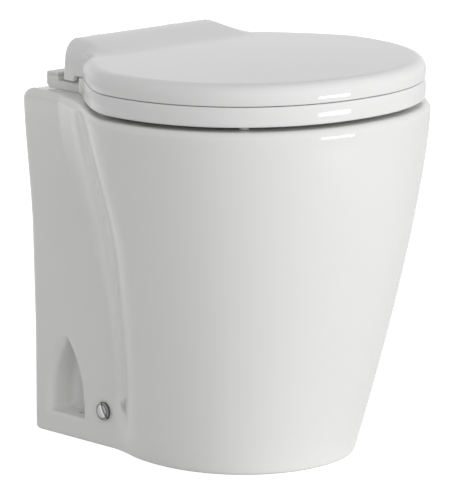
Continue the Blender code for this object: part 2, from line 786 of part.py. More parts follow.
def make_screw(name, side, face, tip, y, material):
    profile = [
        (0.0, side * tip),
        (SIDE_SCREW_RADIUS, side * tip),
        (SIDE_SCREW_RADIUS, side * face),
        (SCREW_HEAD_RADIUS, side * face),
        (SCREW_HEAD_RADIUS, side * (face + SCREW_HEAD_THICKNESS)),
        (0.0, side * (face + SCREW_HEAD_THICKNESS)),
    ]
    bm = bmesh.new()
    add_turned(bm, profile, "X", (0.0, y, SIDE_SCREW_HEIGHT), HOSE_STEPS)
    make_object(name, bm, material)


def make_screw_cap(name, side, face, y, material):
    """A snap-on cap: a cup over the screw head, its front edge rounded."""
    top = face + CAP_THICKNESS
    hollow = SCREW_HEAD_THICKNESS + 2 * FIT
    inside = SCREW_HEAD_RADIUS + FIT
    profile = [(0.0, side * (face + hollow)), (inside, side * (face + hollow)), (inside, side * face)]
    profile += [(CAP_RADIUS, side * face), (CAP_RADIUS, side * (top - CAP_WALL))]
    profile += [(CAP_RADIUS - CAP_WALL / 3, side * (top - CAP_WALL / 3))]
    profile += [(CAP_RADIUS - CAP_WALL, side * top), (0.0, side * top)]
    bm = bmesh.new()
    add_turned(bm, profile, "X", (0.0, y, SIDE_SCREW_HEIGHT))
    make_object(name, bm, material)


# Seat


def seat_plan():
    return Plan(
        half_width=SEAT_HALF_WIDTH,
        front=SEAT_FRONT,
        rear=SEAT_REAR,
        centre_y=SEAT_Y,
        power=SEAT_POWER,
        arm=ARM_OUTER_HALF_WIDTH,
        splay=0.0,
        back_y=SEAT_Y + ARM_END_BACK,
        corner=ARM_END_RADIUS,
        blend=ARM_BLEND,
        flank=FLANK_HALF_WIDTH,
    )


def dip(y):
    """How far the line between seat and lid has dropped on its way back to the hinge."""
    return DIP * ease((y - SEAT_Y - DIP_START_BACK) / DIP_RUN)


def heel(y):
    """How far the underside of an arm comes down to the deck."""
    return HEEL_DROP * ease((y - SEAT_Y - HEEL_START_BACK) / DIP_RUN)


def lowered(point):
    share = min(max((point.z - SEAT_Z) / SEAT_THICKNESS, 0.0), 1.0)
    drop = dip(point.y) * share + heel(point.y) * (1 - share)
    return point - Vector((0.0, 0.0, drop))


def seat_rings():
    plan = seat_plan()
    bearings = directions(plan)
    opening = (SEAT_OPENING_HALF_WIDTH, SEAT_OPENING_FRONT, SEAT_OPENING_REAR)
    turns = [math.radians(a) for a in (0, 45, 90)]
    outer = [(SEAT_EDGE * (1 - math.sin(a)), SEAT_Z + SEAT_EDGE * (1 - math.cos(a))) for a in turns]
    outer += [(SEAT_EDGE * (1 - math.cos(a)), SEAT_TOP_Z - SEAT_EDGE * (1 - math.sin(a))) for a in turns]
    rings = [[lowered(point) for point in ring_at(inset(plan, depth), z)] for depth, z in outer]
    edge = SEAT_OPENING_EDGE
    inner = [(edge * (1 - math.sin(a)), SEAT_TOP_Z - edge * (1 - math.cos(a))) for a in turns]
    inner.append((0.0, SEAT_Z))
    for out, z in inner:
        rings.append(oval_ring(bearings, *[side + out for side in opening], SEAT_Y, z, OVAL_POWER))
    return rings


def arm_outline():
    """(y, z) outline of a seat arm: from the back of the ring up to the eye round the hinge pin."""
    front = SEAT_Y + SEAT_BRIDGE_BACK - ARM_END_RADIUS
    points = [(front, SEAT_Z + SEAT_EDGE), (SEAT_Y + ARM_END_BACK - ARM_END_RADIUS, SEAT_Z + SEAT_EDGE)]
    points += arc((HINGE_Y, HINGE_HEIGHT), HINGE_BOSS_RADIUS, -60, 120, 8)
    points.append((front, SEAT_TOP_Z - SEAT_EDGE))
    return points


def make_seat(material):
    bm = bmesh.new()
    add_rings(bm, seat_rings(), closed=True)
    seat = make_object("seat_ring", bm, material)
    notch = bmesh.new()
    add_box(
        notch,
        (-ARM_PIN_SIDE, SEAT_Y + SEAT_BRIDGE_BACK, SEAT_Z - OVERRUN),
        (ARM_PIN_SIDE, SEAT_Y + ARM_END_BACK + OVERRUN, SEAT_TOP_Z + OVERRUN),
    )
    combine(seat, make_cutter("seat_back_notch", notch), "DIFFERENCE")
    arms, holes = bmesh.new(), bmesh.new()
    for side in (-1, 1):
        add_prism(arms, arm_outline(), side * ARM_PIN_SIDE, side * (ARM_PIN_SIDE + ARM_THICKNESS), "X")
        low = min(side * ARM_PIN_SIDE, side * (ARM_PIN_SIDE + ARM_THICKNESS)) - OVERRUN
        reach = ARM_THICKNESS + 2 * OVERRUN
        add_rod(holes, HINGE_PIN_RADIUS + PIN_FIT, reach, "X", (low, HINGE_Y, HINGE_HEIGHT))
    combine(seat, make_cutter("seat_arms", arms), "UNION")
    combine(seat, make_cutter("seat_pin_holes", holes), "DIFFERENCE")
    set_origin(seat, (0.0, HINGE_Y, HINGE_HEIGHT))
    return seat


def make_seat_bumpers(material):
    """Rubber feet under the ring. Their places are shares of the seat's half width and front reach."""
    for name, (side, across_share, along_share) in BUMPER_PLACE_SHARES.items():
        bm = bmesh.new()
        x = side * across_share * (SEAT_HALF_WIDTH - SHOULDER)
        y = SEAT_Y + along_share * (SEAT_FRONT - SHOULDER)
        add_rod(bm, BUMPER_RADIUS, SEAT_LIFT - 2 * FIT, "Z", (x, y, RIM_HEIGHT + FIT), HOSE_STEPS)
        make_object(f"seat_bumper_{name}", bm, material)


# Lid


def lid_plan():
    return Plan(
        half_width=SEAT_HALF_WIDTH,
        front=SEAT_FRONT,
        rear=SEAT_REAR,
        centre_y=SEAT_Y,
        power=SEAT_POWER,
        arm=LID_ARM_HALF_WIDTH,
        splay=0.0,
        back_y=SEAT_Y + LID_BACK,
        corner=LID_BACK_CORNER,
        blend=ARM_BLEND,
        flank=FLANK_HALF_WIDTH,
    )


def lid_top(x, y):
    """The lid's height: level in front, raised over the hinge and falling off towards its sides."""
    fall = 1 - ease((abs(x) - HUMP_HALF_WIDTH) / HUMP_SIDE_RUN)
    return LID_TOP_Z + HUMP_RISE * fall * ease((y - SEAT_Y - HUMP_START_BACK) / HUMP_RUN)


def lid_ring(depth, drop):
    """A ring of the lid, at a depth in from its outline and a drop below its top."""
    return [Vector((x, y, lid_top(x, y) - drop)) for x, y in full_outline(inset(lid_plan(), depth))]


def shrunk_ring(ring, share, lift):
    centre = Vector((0.0, SEAT_Y, 0.0))
    points = []
    for point in ring:
        flat = centre + (Vector((point.x, point.y, 0.0)) - centre) * share
        points.append(Vector((flat.x, flat.y, lid_top(flat.x, flat.y) + lift)))
    return points


def lid_rings():
    turns = [math.pi / 2 * i / 3 for i in range(4)]
    rings = [ring_at(lid_plan(), EAR_Z)]
    rings += [lid_ring(LID_EDGE * (1 - math.cos(a)), LID_EDGE * (1 - math.sin(a))) for a in turns]
    crest = rings[-1]
    rings.append(shrunk_ring(crest, CROWN_RING_SHARE, CROWN / 2))
    rings.append([Vector((0.0, SEAT_Y, LID_TOP_Z + CROWN))])
    rings.append([Vector((0.0, SEAT_Y, LID_TOP_Z + CROWN - LID_WALL))])
    rings.append(shrunk_ring(crest, CROWN_RING_SHARE, CROWN / 2 - LID_WALL))
    rings.append(lid_ring(LID_EDGE, LID_WALL))
    rings.append(lid_ring(LID_WALL, LID_EDGE))
    rings.append(ring_at(inset(lid_plan(), LID_WALL), EAR_Z))
    return rings


def lid_lug_outline():
    """(y, z) outline of a lug that hangs from the lid's roof and holds the hinge pin."""
    roof = LID_ROOF_Z + LID_WALL / 2
    points = arc((HINGE_Y, HINGE_HEIGHT), HINGE_BOSS_RADIUS, -180, 0, 8)
    return [*points, (HINGE_Y + HINGE_BOSS_RADIUS, roof), (HINGE_Y - HINGE_BOSS_RADIUS, roof)]


def add_lid_trim(bm):
    """Everything below the lid's lower edge, which follows the seat and leaves the ears behind its arms."""
    front, ear = SEAT_Y - SEAT_FRONT - OVERRUN, SEAT_Y + EAR_START_BACK
    low = EAR_Z - OVERRUN
    outline = [(front, low), (ear, low), (ear, LID_Z - DIP - RUNNING_GAP)]
    outline.append((ear - RUNNING_GAP, LID_Z - DIP))
    steps = 8
    for i in range(steps + 1):
        y = SEAT_Y + DIP_START_BACK + DIP_RUN * (1 - i / steps)
        outline.append((y, LID_Z - dip(y)))
    outline.append((front, LID_Z))
    add_prism(bm, outline, -SEAT_HALF_WIDTH - OVERRUN, SEAT_HALF_WIDTH + OVERRUN, "X")


def add_lid_cuts(bm):
    """Slots in the back wall, which pass the block's lugs and the seat's arms as the lid opens."""
    reach = ARM_PIN_SIDE + ARM_THICKNESS + RUNNING_GAP
    back = SEAT_Y + LID_BACK
    for side in (-1, 1):
        low_x, high_x = sorted((side * (LUG_SIDE - RUNNING_GAP), side * reach))
        low = (low_x, back - LID_WALL - 2 * RUNNING_GAP, HINGE_HEIGHT - 2 * LID_HEIGHT)
        add_box(bm, low, (high_x, back + OVERRUN, HINGE_HEIGHT + HINGE_BOSS_RADIUS + 2 * RUNNING_GAP))
        start = min(side * LID_LUG_SIDE, side * (LID_LUG_SIDE + LUG_THICKNESS)) - RUNNING_GAP / 2
        length = LUG_THICKNESS + RUNNING_GAP
        add_rod(bm, HINGE_PIN_RADIUS + PIN_FIT, length, "X", (start, HINGE_Y, HINGE_HEIGHT))


def make_lid(material):
    bm = bmesh.new()
    rings = lid_rings()
    tip = next(i for i, ring in enumerate(rings) if len(ring) == 1)
    outer, inner = rings[: tip + 1], rings[tip + 1 :]
    rows = [[bm.verts.new(point) for point in ring] for ring in outer + inner]
    for low, high in zip(rows, rows[1:]):
        if len(low) + len(high) > 2:
            skin(bm, low, high)
    skin(bm, rows[-1], rows[0])
    lid = make_object("lid", bm, material)
    trim = bmesh.new()
    add_lid_trim(trim)
    combine(lid, make_cutter("lid_trim", trim), "DIFFERENCE")
    lugs = bmesh.new()
    for side in (-1, 1):
        add_prism(lugs, lid_lug_outline(), side * LID_LUG_SIDE, side * (LID_LUG_SIDE + LUG_THICKNESS), "X")
    combine(lid, make_cutter("lid_lugs", lugs), "UNION")
    cuts = bmesh.new()
    add_lid_cuts(cuts)
    combine(lid, make_cutter("lid_cuts", cuts), "DIFFERENCE")
    set_origin(lid, (0.0, HINGE_Y, HINGE_HEIGHT))
    return lid


def make_lid_bumpers(material):
    """Two buffers that hold the lid's hollow edge off the seat."""
    bottom = SEAT_TOP_Z + FIT
    for side, name in ((-1, "left"), (1, "right")):
        bm = bmesh.new()
        x = side * LID_BUMPER_SIDE_SHARE * SEAT_HALF_WIDTH
        place = (x, SEAT_Y - LID_BUMPER_FRONT_SHARE * SEAT_FRONT, bottom)
        height = LID_TOP_Z - LID_WALL - bottom - FIT
        add_rod(bm, LID_BUMPER_RADIUS, height, "Z", place, HOSE_STEPS)
        make_object(f"lid_bumper_{name}", bm, material)


# Hinge


def make_hinge_block(material):
    """A moulded bar on the deck, with two lugs that carry the hinge pins under the lid."""
    back, front = SEAT_Y + BLOCK_BACK, SEAT_Y + BLOCK_FRONT
    bar_front = back - BLOCK_BAR_DEPTH
    outline = [
        (front, BLOCK_Z),
        (back - BLOCK_UNDERCUT, BLOCK_Z),
        (back, BLOCK_Z + BLOCK_UNDERCUT),
        (back, BLOCK_TOP_Z),
        (bar_front, BLOCK_TOP_Z),
        (bar_front, BLOCK_Z + BLOCK_PLATE),
        (front, BLOCK_Z + BLOCK_PLATE),
    ]
    bm = bmesh.new()
    add_prism(bm, outline, -BLOCK_HALF_WIDTH, BLOCK_HALF_WIDTH, "X")
    block = make_object("hinge_block", bm, material)
    lugs, holes = bmesh.new(), bmesh.new()
    lug = arc((HINGE_Y, HINGE_HEIGHT), HINGE_BOSS_RADIUS, 0, 180, 8)
    lug += [(HINGE_Y - HINGE_BOSS_RADIUS, BLOCK_Z + BLOCK_PLATE / 2),
            (HINGE_Y + HINGE_BOSS_RADIUS, BLOCK_Z + BLOCK_PLATE / 2)]
    for side in (-1, 1):
        add_prism(lugs, lug, side * LUG_SIDE, side * (LUG_SIDE + LUG_THICKNESS), "X")
        start = min(side * LUG_SIDE, side * (LUG_SIDE + LUG_THICKNESS)) - OVERRUN
        reach = LUG_THICKNESS + 2 * OVERRUN
        add_rod(holes, HINGE_PIN_RADIUS + PIN_FIT, reach, "X", (start, HINGE_Y, HINGE_HEIGHT))
        bolt = (side * SEAT_BOLT_SIDE, SEAT_BOLT_Y, BLOCK_Z - OVERRUN)
        add_rod(holes, SEAT_BOLT_RADIUS + FIT, BLOCK_BAR_HEIGHT, "Z", bolt, HOSE_STEPS)
    combine(block, make_cutter("block_lugs", lugs), "UNION")
    combine(block, make_cutter("block_holes", holes), "DIFFERENCE")
    sinks = bmesh.new()
    for side in (-1, 1):
        place = (side * SEAT_BOLT_SIDE, SEAT_BOLT_Y, BLOCK_Z + BLOCK_PLATE)
        add_rod(sinks, BOLT_HEAD_RADIUS + FIT, BLOCK_BAR_HEIGHT, "Z", place)
    combine(block, make_cutter("block_sinks", sinks), "DIFFERENCE")


def make_hinge_cover(material):
    """The thin cap strip over the bar and its bolt heads, its upper edges chamfered."""
    back = SEAT_Y + BLOCK_BACK
    front = back - BLOCK_BAR_DEPTH
    low, high = BLOCK_TOP_Z + FIT, BLOCK_TOP_Z + FIT + COVER_THICKNESS
    chamfer = COVER_THICKNESS / 3
    bm = bmesh.new()
    outline = [
        (front, low),
        (back, low),
        (back, high - chamfer),
        (back - chamfer, high),
        (front + chamfer, high),
        (front, high - chamfer),
    ]
    add_prism(bm, outline, -BLOCK_HALF_WIDTH, BLOCK_HALF_WIDTH, "X")
    make_object("hinge_cover", bm, material)


def make_seat_bolts(steel, nylon):
    for side, name in ((-1, "left"), (1, "right")):
        x = side * SEAT_BOLT_SIDE
        head = BLOCK_Z + BLOCK_PLATE + FIT
        profile = [
            (0.0, head + BOLT_HEAD_THICKNESS),
            (BOLT_HEAD_RADIUS, head + BOLT_HEAD_THICKNESS),
            (BOLT_HEAD_RADIUS, head),
            (SEAT_BOLT_RADIUS, head),
            (SEAT_BOLT_RADIUS, head - SEAT_BOLT_LENGTH),
            (0.0, head - SEAT_BOLT_LENGTH),
        ]
        bm = bmesh.new()
        add_turned(bm, profile, "Z", (x, SEAT_BOLT_Y, 0.0), HOSE_STEPS)
        make_object(f"seat_bolt_{name}", bm, steel)
        make_wing_nut(f"wing_nut_{name}", x, nylon)


def make_wing_nut(name, x, material):
    top = CAVITY_TOP_Z - FIT
    half = NUT_HUB_RADIUS / 2
    hub = arc((x, SEAT_BOLT_Y), NUT_HUB_RADIUS, -60, 60, 4)
    outline = [(x + NUT_SPAN, SEAT_BOLT_Y - half), (x + NUT_SPAN, SEAT_BOLT_Y + half)]
    right = [hub[0], *outline, hub[-1]]
    upper = arc((x, SEAT_BOLT_Y), NUT_HUB_RADIUS, 60, 120, 3)[1:]
    left = [(x - NUT_SPAN, SEAT_BOLT_Y + half), (x - NUT_SPAN, SEAT_BOLT_Y - half)]
    lower = arc((x, SEAT_BOLT_Y), NUT_HUB_RADIUS, 240, 300, 3)[:-1]
    bm = bmesh.new()
    add_prism(bm, right + upper + left + lower, top - NUT_THICKNESS, top, "Z")
    nut = make_object(name, bm, material)
    hole = bmesh.new()
    start = (x, SEAT_BOLT_Y, top - NUT_THICKNESS - OVERRUN)
    add_rod(hole, SEAT_BOLT_RADIUS + FIT, NUT_THICKNESS + 2 * OVERRUN, "Z", start, HOSE_STEPS)
    combine(nut, make_cutter(f"{name}_hole", hole), "DIFFERENCE")


def make_hinge_pins(steel):
    start = LID_LUG_SIDE - RUNNING_GAP
    length = ARM_PIN_SIDE + ARM_THICKNESS - start
    for side, name in ((-1, "left"), (1, "right")):
        bm = bmesh.new()
        low = min(side * start, side * (start + length))
        add_rod(bm, HINGE_PIN_RADIUS, length, "X", (low, HINGE_Y, HINGE_HEIGHT))
        make_object(f"hinge_pin_{name}", bm, steel)


# Pump


def make_housing(material, rubber):
    """The macerator housing: a cup on its side, with a neck up to the bowl and a side port."""
    axis = (0.0, 0.0, PUMP_AXIS_HEIGHT)
    front, back = HOUSING_FRONT_Y, HOUSING_BACK_Y
    bore = HOUSING_RADIUS - HOUSING_WALL
    profile = [
        (0.0, front),
        (HOUSING_RADIUS, front),
        (HOUSING_RADIUS, back),
        (bore, back),
        (bore, front + HOUSING_WALL),
        (0.0, front + HOUSING_WALL),
    ]
    bm = bmesh.new()
    add_turned(bm, profile, "Y", axis, CASE_STEPS)
    housing = make_object("macerator_housing", bm, material)
    neck_top = SPIGOT_END_Z - FIT - GASKET_THICKNESS - FIT
    inside = PUMP_AXIS_HEIGHT + bore
    pipes, bores = bmesh.new(), bmesh.new()
    start = inside - HOUSING_WALL - OVERRUN
    add_rod(pipes, OUTLET_RADIUS + NECK_WALL, neck_top - start, "Z", (0.0, OUTLET_Y, start), ROUND_STEPS)
    port_reach = HOUSING_RADIUS + PORT_LENGTH
    port = (bore * PORT_ROOT_SHARE, PORT_Y, PUMP_AXIS_HEIGHT)
    add_rod(pipes, PORT_RADIUS + PORT_WALL, port_reach - port[0], "X", port, ROUND_STEPS)
    combine(housing, make_cutter("housing_pipes", pipes), "UNION")
    low = (0.0, OUTLET_Y, PUMP_AXIS_HEIGHT)
    add_rod(bores, OUTLET_RADIUS, neck_top + OVERRUN - PUMP_AXIS_HEIGHT, "Z", low, ROUND_STEPS)
    combine(housing, make_cutter("neck_bore", bores), "DIFFERENCE")
    clear = bmesh.new()
    add_rod(clear, PORT_RADIUS, port_reach + OVERRUN, "X", (0.0, PORT_Y, PUMP_AXIS_HEIGHT), ROUND_STEPS)
    combine(housing, make_cutter("port_bore", clear), "DIFFERENCE")
    room = bmesh.new()
    floor = (0.0, front + HOUSING_WALL, PUMP_AXIS_HEIGHT)
    add_rod(room, bore, back - floor[1], "Y", floor, CASE_STEPS)
    combine(housing, make_cutter("chamber", room), "DIFFERENCE")
    gasket = bmesh.new()
    place = (0.0, OUTLET_Y, neck_top + FIT)
    add_ring(gasket, OUTLET_RADIUS, OUTLET_RADIUS + NECK_WALL, GASKET_THICKNESS, "Z", place)
    make_object("outlet_gasket", gasket, rubber)


def make_blade(steel):
    """The macerator blade: a bar with raked ends, keyed on the shaft."""
    half = BLADE_WIDTH / 2
    tip = math.sqrt(BLADE_RADIUS**2 - half**2)
    outline = [
        (-tip, PUMP_AXIS_HEIGHT - half),
        (tip, PUMP_AXIS_HEIGHT - half / 2),
        (tip, PUMP_AXIS_HEIGHT + half),
        (-tip, PUMP_AXIS_HEIGHT + half / 2),
    ]
    bm = bmesh.new()
    add_prism(bm, outline, BLADE_Y, BLADE_Y + BLADE_THICKNESS, "Y")
    blade = make_object("macerator_blade", bm, steel)
    bore_on_shaft(blade, BLADE_Y, BLADE_THICKNESS)
    return blade


def bore_on_shaft(obj, y, thickness):
    hole = bmesh.new()
    start = (0.0, y - OVERRUN, PUMP_AXIS_HEIGHT)
    add_rod(hole, SHAFT_RADIUS + FIT, thickness + 2 * OVERRUN, "Y", start)
    combine(obj, make_cutter(f"{obj.name}_bore", hole), "DIFFERENCE")


def make_chopper_plate(steel):
    """The fixed plate with holes, against which the blade cuts."""
    radius = HOUSING_RADIUS - HOUSING_WALL - FIT
    bm = bmesh.new()
    place = (0.0, CHOPPER_Y, PUMP_AXIS_HEIGHT)
    add_ring(bm, SHAFT_RADIUS + RUNNING_GAP, radius, CHOPPER_THICKNESS, "Y", place, CASE_STEPS)
    plate = make_object("chopper_plate", bm, steel)
    holes = bmesh.new()
    circle = CHOPPER_CIRCLE_SHARE * radius
    for i in range(CHOPPER_HOLES):
        turn = 2 * math.pi * i / CHOPPER_HOLES
        x, z = circle * math.cos(turn), PUMP_AXIS_HEIGHT + circle * math.sin(turn)
        reach = CHOPPER_THICKNESS + 2 * OVERRUN
        add_rod(holes, CHOPPER_HOLE_RADIUS, reach, "Y", (x, CHOPPER_Y - OVERRUN, z), 8)
    combine(plate, make_cutter("chopper_holes", holes), "DIFFERENCE")


def make_impeller(plastic):
    """The pump impeller: a disc with straight vanes towards the chopper plate."""
    plate_y = IMPELLER_Y + IMPELLER_THICKNESS - IMPELLER_PLATE
    bm = bmesh.new()
    add_rod(bm, IMPELLER_RADIUS, IMPELLER_PLATE, "Y", (0.0, plate_y, PUMP_AXIS_HEIGHT), ROUND_STEPS)
    impeller = make_object("pump_impeller", bm, plastic)
    vanes = bmesh.new()
    hub = 2 * SHAFT_RADIUS + VANE_THICKNESS
    add_rod(vanes, hub, IMPELLER_THICKNESS - IMPELLER_PLATE / 2, "Y", (0.0, IMPELLER_Y, PUMP_AXIS_HEIGHT))
    combine(impeller, make_cutter("impeller_hub", vanes), "UNION")
    blades = bmesh.new()
    for i in range(IMPELLER_VANES):
        turn = Matrix.Rotation(2 * math.pi * i / IMPELLER_VANES, 3, "Y")
        inner, outer = hub - VANE_THICKNESS, IMPELLER_RADIUS * VANE_REACH_SHARE
        half = VANE_THICKNESS / 2
        corners = [(inner, -half), (outer, -half), (outer, half), (inner, half)]
        rings = []
        for y in (IMPELLER_Y + VANE_THICKNESS / 3, IMPELLER_Y + IMPELLER_THICKNESS - IMPELLER_PLATE / 2):
            flat = [turn @ Vector((x, 0.0, z)) for x, z in corners]
            rings.append([Vector((p.x, y, p.z + PUMP_AXIS_HEIGHT)) for p in flat])
        add_rings(blades, rings, closed=False)
    combine(impeller, make_cutter("impeller_vanes", blades), "UNION")
    bore_on_shaft(impeller, IMPELLER_Y, IMPELLER_THICKNESS)
    return impeller


def make_flange(plastic, rubber):
    """The plate between pump and motor, with the shaft seal pressed in its middle."""
    bm = bmesh.new()
    place = (0.0, FLANGE_Y, PUMP_AXIS_HEIGHT)
    add_ring(bm, SEAL_RADIUS + FIT, HOUSING_RADIUS, FLANGE_THICKNESS, "Y", place, CASE_STEPS)
    make_object("motor_flange", bm, plastic)
    seal = bmesh.new()
    add_ring(seal, SHAFT_RADIUS + FIT, SEAL_RADIUS, FLANGE_THICKNESS - FIT, "Y", place)
    make_object("shaft_seal", seal, rubber)


def make_motor(paint, ferrite, plastic, steel, carbon):
    axis_z = PUMP_AXIS_HEIGHT
    bm = bmesh.new()
    place = (0.0, MOTOR_Y, axis_z)
    add_ring(bm, MOTOR_RADIUS - MOTOR_WALL, MOTOR_RADIUS, MOTOR_LENGTH, "Y", place, CASE_STEPS)
    make_object("motor_can", bm, paint)
    make_magnets(ferrite)
    for name, start in (("front_bearing", MOTOR_Y + FIT), ("rear_bearing", BELL_Y - FIT - BEARING_WIDTH)):
        race = bmesh.new()
        add_ring(race, SHAFT_RADIUS + FIT, BEARING_RADIUS, BEARING_WIDTH, "Y", (0.0, start, axis_z))
        make_object(name, race, steel)
    bell = bmesh.new()
    profile = [
        (0.0, BELL_Y + END_BELL_THICKNESS),
        (MOTOR_RADIUS - MOTOR_WALL, BELL_Y + END_BELL_THICKNESS),
        (MOTOR_RADIUS, BELL_Y + END_BELL_THICKNESS - MOTOR_WALL),
        (MOTOR_RADIUS, BELL_Y),
        (0.0, BELL_Y),
    ]
    add_turned(bell, profile, "Y", (0.0, 0.0, axis_z), CASE_STEPS)
    make_object("motor_end_bell", bell, plastic)
    make_brushes(carbon)


def make_magnets(ferrite):
    outer = MOTOR_RADIUS - MOTOR_WALL - FIT
    inner = outer - MAGNET_THICKNESS
    start_y = MOTOR_Y + ARMATURE_START - (MAGNET_LENGTH - ARMATURE_LENGTH) / 2
    half = MAGNET_SPAN_DEGREES / 2
    for middle, name in ((0, "right"), (180, "left")):
        bm = bmesh.new()
        outline = arc((0.0, PUMP_AXIS_HEIGHT), outer, middle - half, middle + half, 10)
        outline += arc((0.0, PUMP_AXIS_HEIGHT), inner, middle + half, middle - half, 10)
        add_prism(bm, outline, start_y, start_y + MAGNET_LENGTH, "Y")
        make_object(f"magnet_{name}", bm, ferrite)


def make_brushes(carbon):
    half = BRUSH_WIDTH / 2
    inner = COMMUTATOR_RADIUS + FIT
    outer = math.sqrt((MOTOR_RADIUS - MOTOR_WALL) ** 2 - half**2) - 2 * FIT
    middle = COMMUTATOR_Y + COMMUTATOR_LENGTH / 2
    for side, name in ((-1, "left"), (1, "right")):
        bm = bmesh.new()
        low_x, high_x = sorted((side * inner, side * outer))
        low = (low_x, middle - half, PUMP_AXIS_HEIGHT - half)
        add_box(bm, low, (high_x, middle + half, PUMP_AXIS_HEIGHT + half))
        make_object(f"brush_{name}", bm, carbon)


def make_rotor(steel, lamination, copper):
    """Shaft, armature and commutator, which turn with the blade and the impeller."""
    start = HOUSING_FRONT_Y + HOUSING_WALL + BLADE_GAP / 2
    end = BELL_Y - RUNNING_GAP
    axis = (0.0, start, PUMP_AXIS_HEIGHT)
    bm = bmesh.new()
    add_rod(bm, SHAFT_RADIUS, end - start, "Y", axis)
    parts = [make_object("motor_shaft", bm, steel)]
    bm = bmesh.new()
    outline = []
    for i in range(ARMATURE_SLOTS):
        pitch = 2 * math.pi / ARMATURE_SLOTS
        for share, depth in ARMATURE_TOOTH_SHARES:
            turn = pitch * (i + share)
            radius = ARMATURE_RADIUS - depth * ARMATURE_SLOT_DEPTH
            outline.append((radius * math.cos(turn), PUMP_AXIS_HEIGHT + radius * math.sin(turn)))
    armature_y = MOTOR_Y + ARMATURE_START
    add_prism(bm, outline, armature_y, armature_y + ARMATURE_LENGTH, "Y")
    armature = make_object("armature", bm, lamination)
    bore_on_shaft(armature, armature_y, ARMATURE_LENGTH)
    parts.append(armature)
    bm = bmesh.new()
    place = (0.0, COMMUTATOR_Y, PUMP_AXIS_HEIGHT)
    add_ring(bm, SHAFT_RADIUS + FIT, COMMUTATOR_RADIUS, COMMUTATOR_LENGTH, "Y", place)
    parts.append(make_object("commutator", bm, copper))
    return parts


def make_cradle(plastic, rubber):
    """The saddle under the motor, on two rubber mounts that stand on the floor."""
    start = MOTOR_Y + CRADLE_START
    saddle = MOTOR_RADIUS + FIT
    low = MOUNT_HEIGHT + FIT
    angle = math.degrees(math.asin(CRADLE_HALF_WIDTH * CRADLE_SEAT_SHARE / saddle))
    outline = [(-CRADLE_HALF_WIDTH, low), (CRADLE_HALF_WIDTH, low)]
    outline += arc((0.0, PUMP_AXIS_HEIGHT), saddle, -90 + angle, -90 - angle, 8)
    bm = bmesh.new()
    add_prism(bm, outline, start, start + CRADLE_LENGTH, "Y")
    make_object("motor_cradle", bm, plastic)
    middle = start + CRADLE_LENGTH / 2
    for y, name in ((middle - MOUNT_SPACING / 2, "front"), (middle + MOUNT_SPACING / 2, "rear")):
        bm = bmesh.new()
        add_rod(bm, MOUNT_RADIUS, MOUNT_HEIGHT, "Z", (0.0, y, 0.0), HOSE_STEPS)
        make_object(f"rubber_mount_{name}", bm, rubber)


def make_cable_gland(plastic):
    """A screwed gland on the end bell, where the supply cable would enter."""
    y = BELL_Y + END_BELL_THICKNESS + FIT
    place = (0.0, y, PUMP_AXIS_HEIGHT + MOTOR_RADIUS / 2)
    profile = [
        (GLAND_RADIUS / 2, 0.0),
        (GLAND_RADIUS, 0.0),
        (GLAND_RADIUS, GLAND_NUT_SHARE * GLAND_LENGTH),
        (GLAND_TIP_SHARE * GLAND_RADIUS, GLAND_LENGTH),
        (GLAND_RADIUS / 2, GLAND_LENGTH),
    ]
    bm = bmesh.new()
    add_turned(bm, profile, "Y", place, HOSE_STEPS, closed=True)
    make_object("cable_gland", bm, plastic)


# Discharge line


def discharge_path():
    start = Vector((HOUSING_RADIUS + PORT_LENGTH + FIT, PORT_Y, PUMP_AXIS_HEIGHT))
    end_y = DISCHARGE_TAIL_END - DISCHARGE_TAIL_LENGTH - VALVE_LENGTH
    end = Vector((DISCHARGE_SIDE, end_y, DISCHARGE_HEIGHT))
    rise = end.z - start.z
    run = end.y - start.y
    straight = Vector((2 * CLAMP_WIDTH, 0.0, 0.0))
    reach = HOSE_RADIUS
    turn, climb, top = HOSE_TURN_SHARES, HOSE_CLIMB_SHARES, HOSE_TOP_SHARES
    return [
        start,
        start + straight,
        start + HOSE_LEAD_SHARE * straight,
        start + straight + Vector((turn[0] * reach, turn[1] * reach, turn[2] * rise)),
        start + straight + Vector((climb[0] * reach, climb[1] * run, climb[2] * rise)),
        Vector((start.x + (end.x - start.x) * top[0], start.y + run * top[1], end.z)),
        end - Vector((0.0, reach, 0.0)),
        end,
    ]


def make_discharge(rubber, plastic, steel):
    points = discharge_path()
    bm = bmesh.new()
    add_hose(bm, points, HOSE_RADIUS - HOSE_WALL, HOSE_RADIUS)
    make_object("discharge_hose", bm, rubber)
    valve_start = points[-1].y + FIT
    tail_start = valve_start + VALVE_LENGTH
    place = (DISCHARGE_SIDE, 0.0, DISCHARGE_HEIGHT)
    bore = HOSE_RADIUS - HOSE_WALL
    lip = VALVE_LIP_SHARE * bore
    body = bmesh.new()
    profile = [(bore, valve_start), (VALVE_RADIUS, valve_start), (VALVE_RADIUS, tail_start - FIT)]
    seat = valve_start + VALVE_SEAT_SHARE * VALVE_LENGTH
    profile += [(bore + lip, tail_start - FIT), (bore + lip, seat), (bore, seat)]
    add_turned(body, profile, "Y", place, closed=True)
    make_object("check_valve_body", body, plastic)
    duckbill = bmesh.new()
    wall = HOSE_WALL * DUCKBILL_WALL_SHARE
    start = seat + FIT
    profile = [(bore + lip - FIT, start), (bore + lip - FIT, start + wall), (bore, start + wall)]
    profile += [(lip + wall, tail_start - 2 * FIT), (lip, tail_start - 2 * FIT), (bore - wall, start)]
    add_turned(duckbill, profile, "Y", place, closed=True)
    make_object("duckbill_valve", duckbill, rubber)
    tail = bmesh.new()
    profile = barbed_profile(tail_start, DISCHARGE_TAIL_LENGTH, bore - lip, bore, VALVE_RADIUS)
    add_turned(tail, profile, "Y", place, closed=True)
    make_object("discharge_hose_tail", tail, plastic)
    make_clamp(points[0].x + RUNNING_GAP, steel)


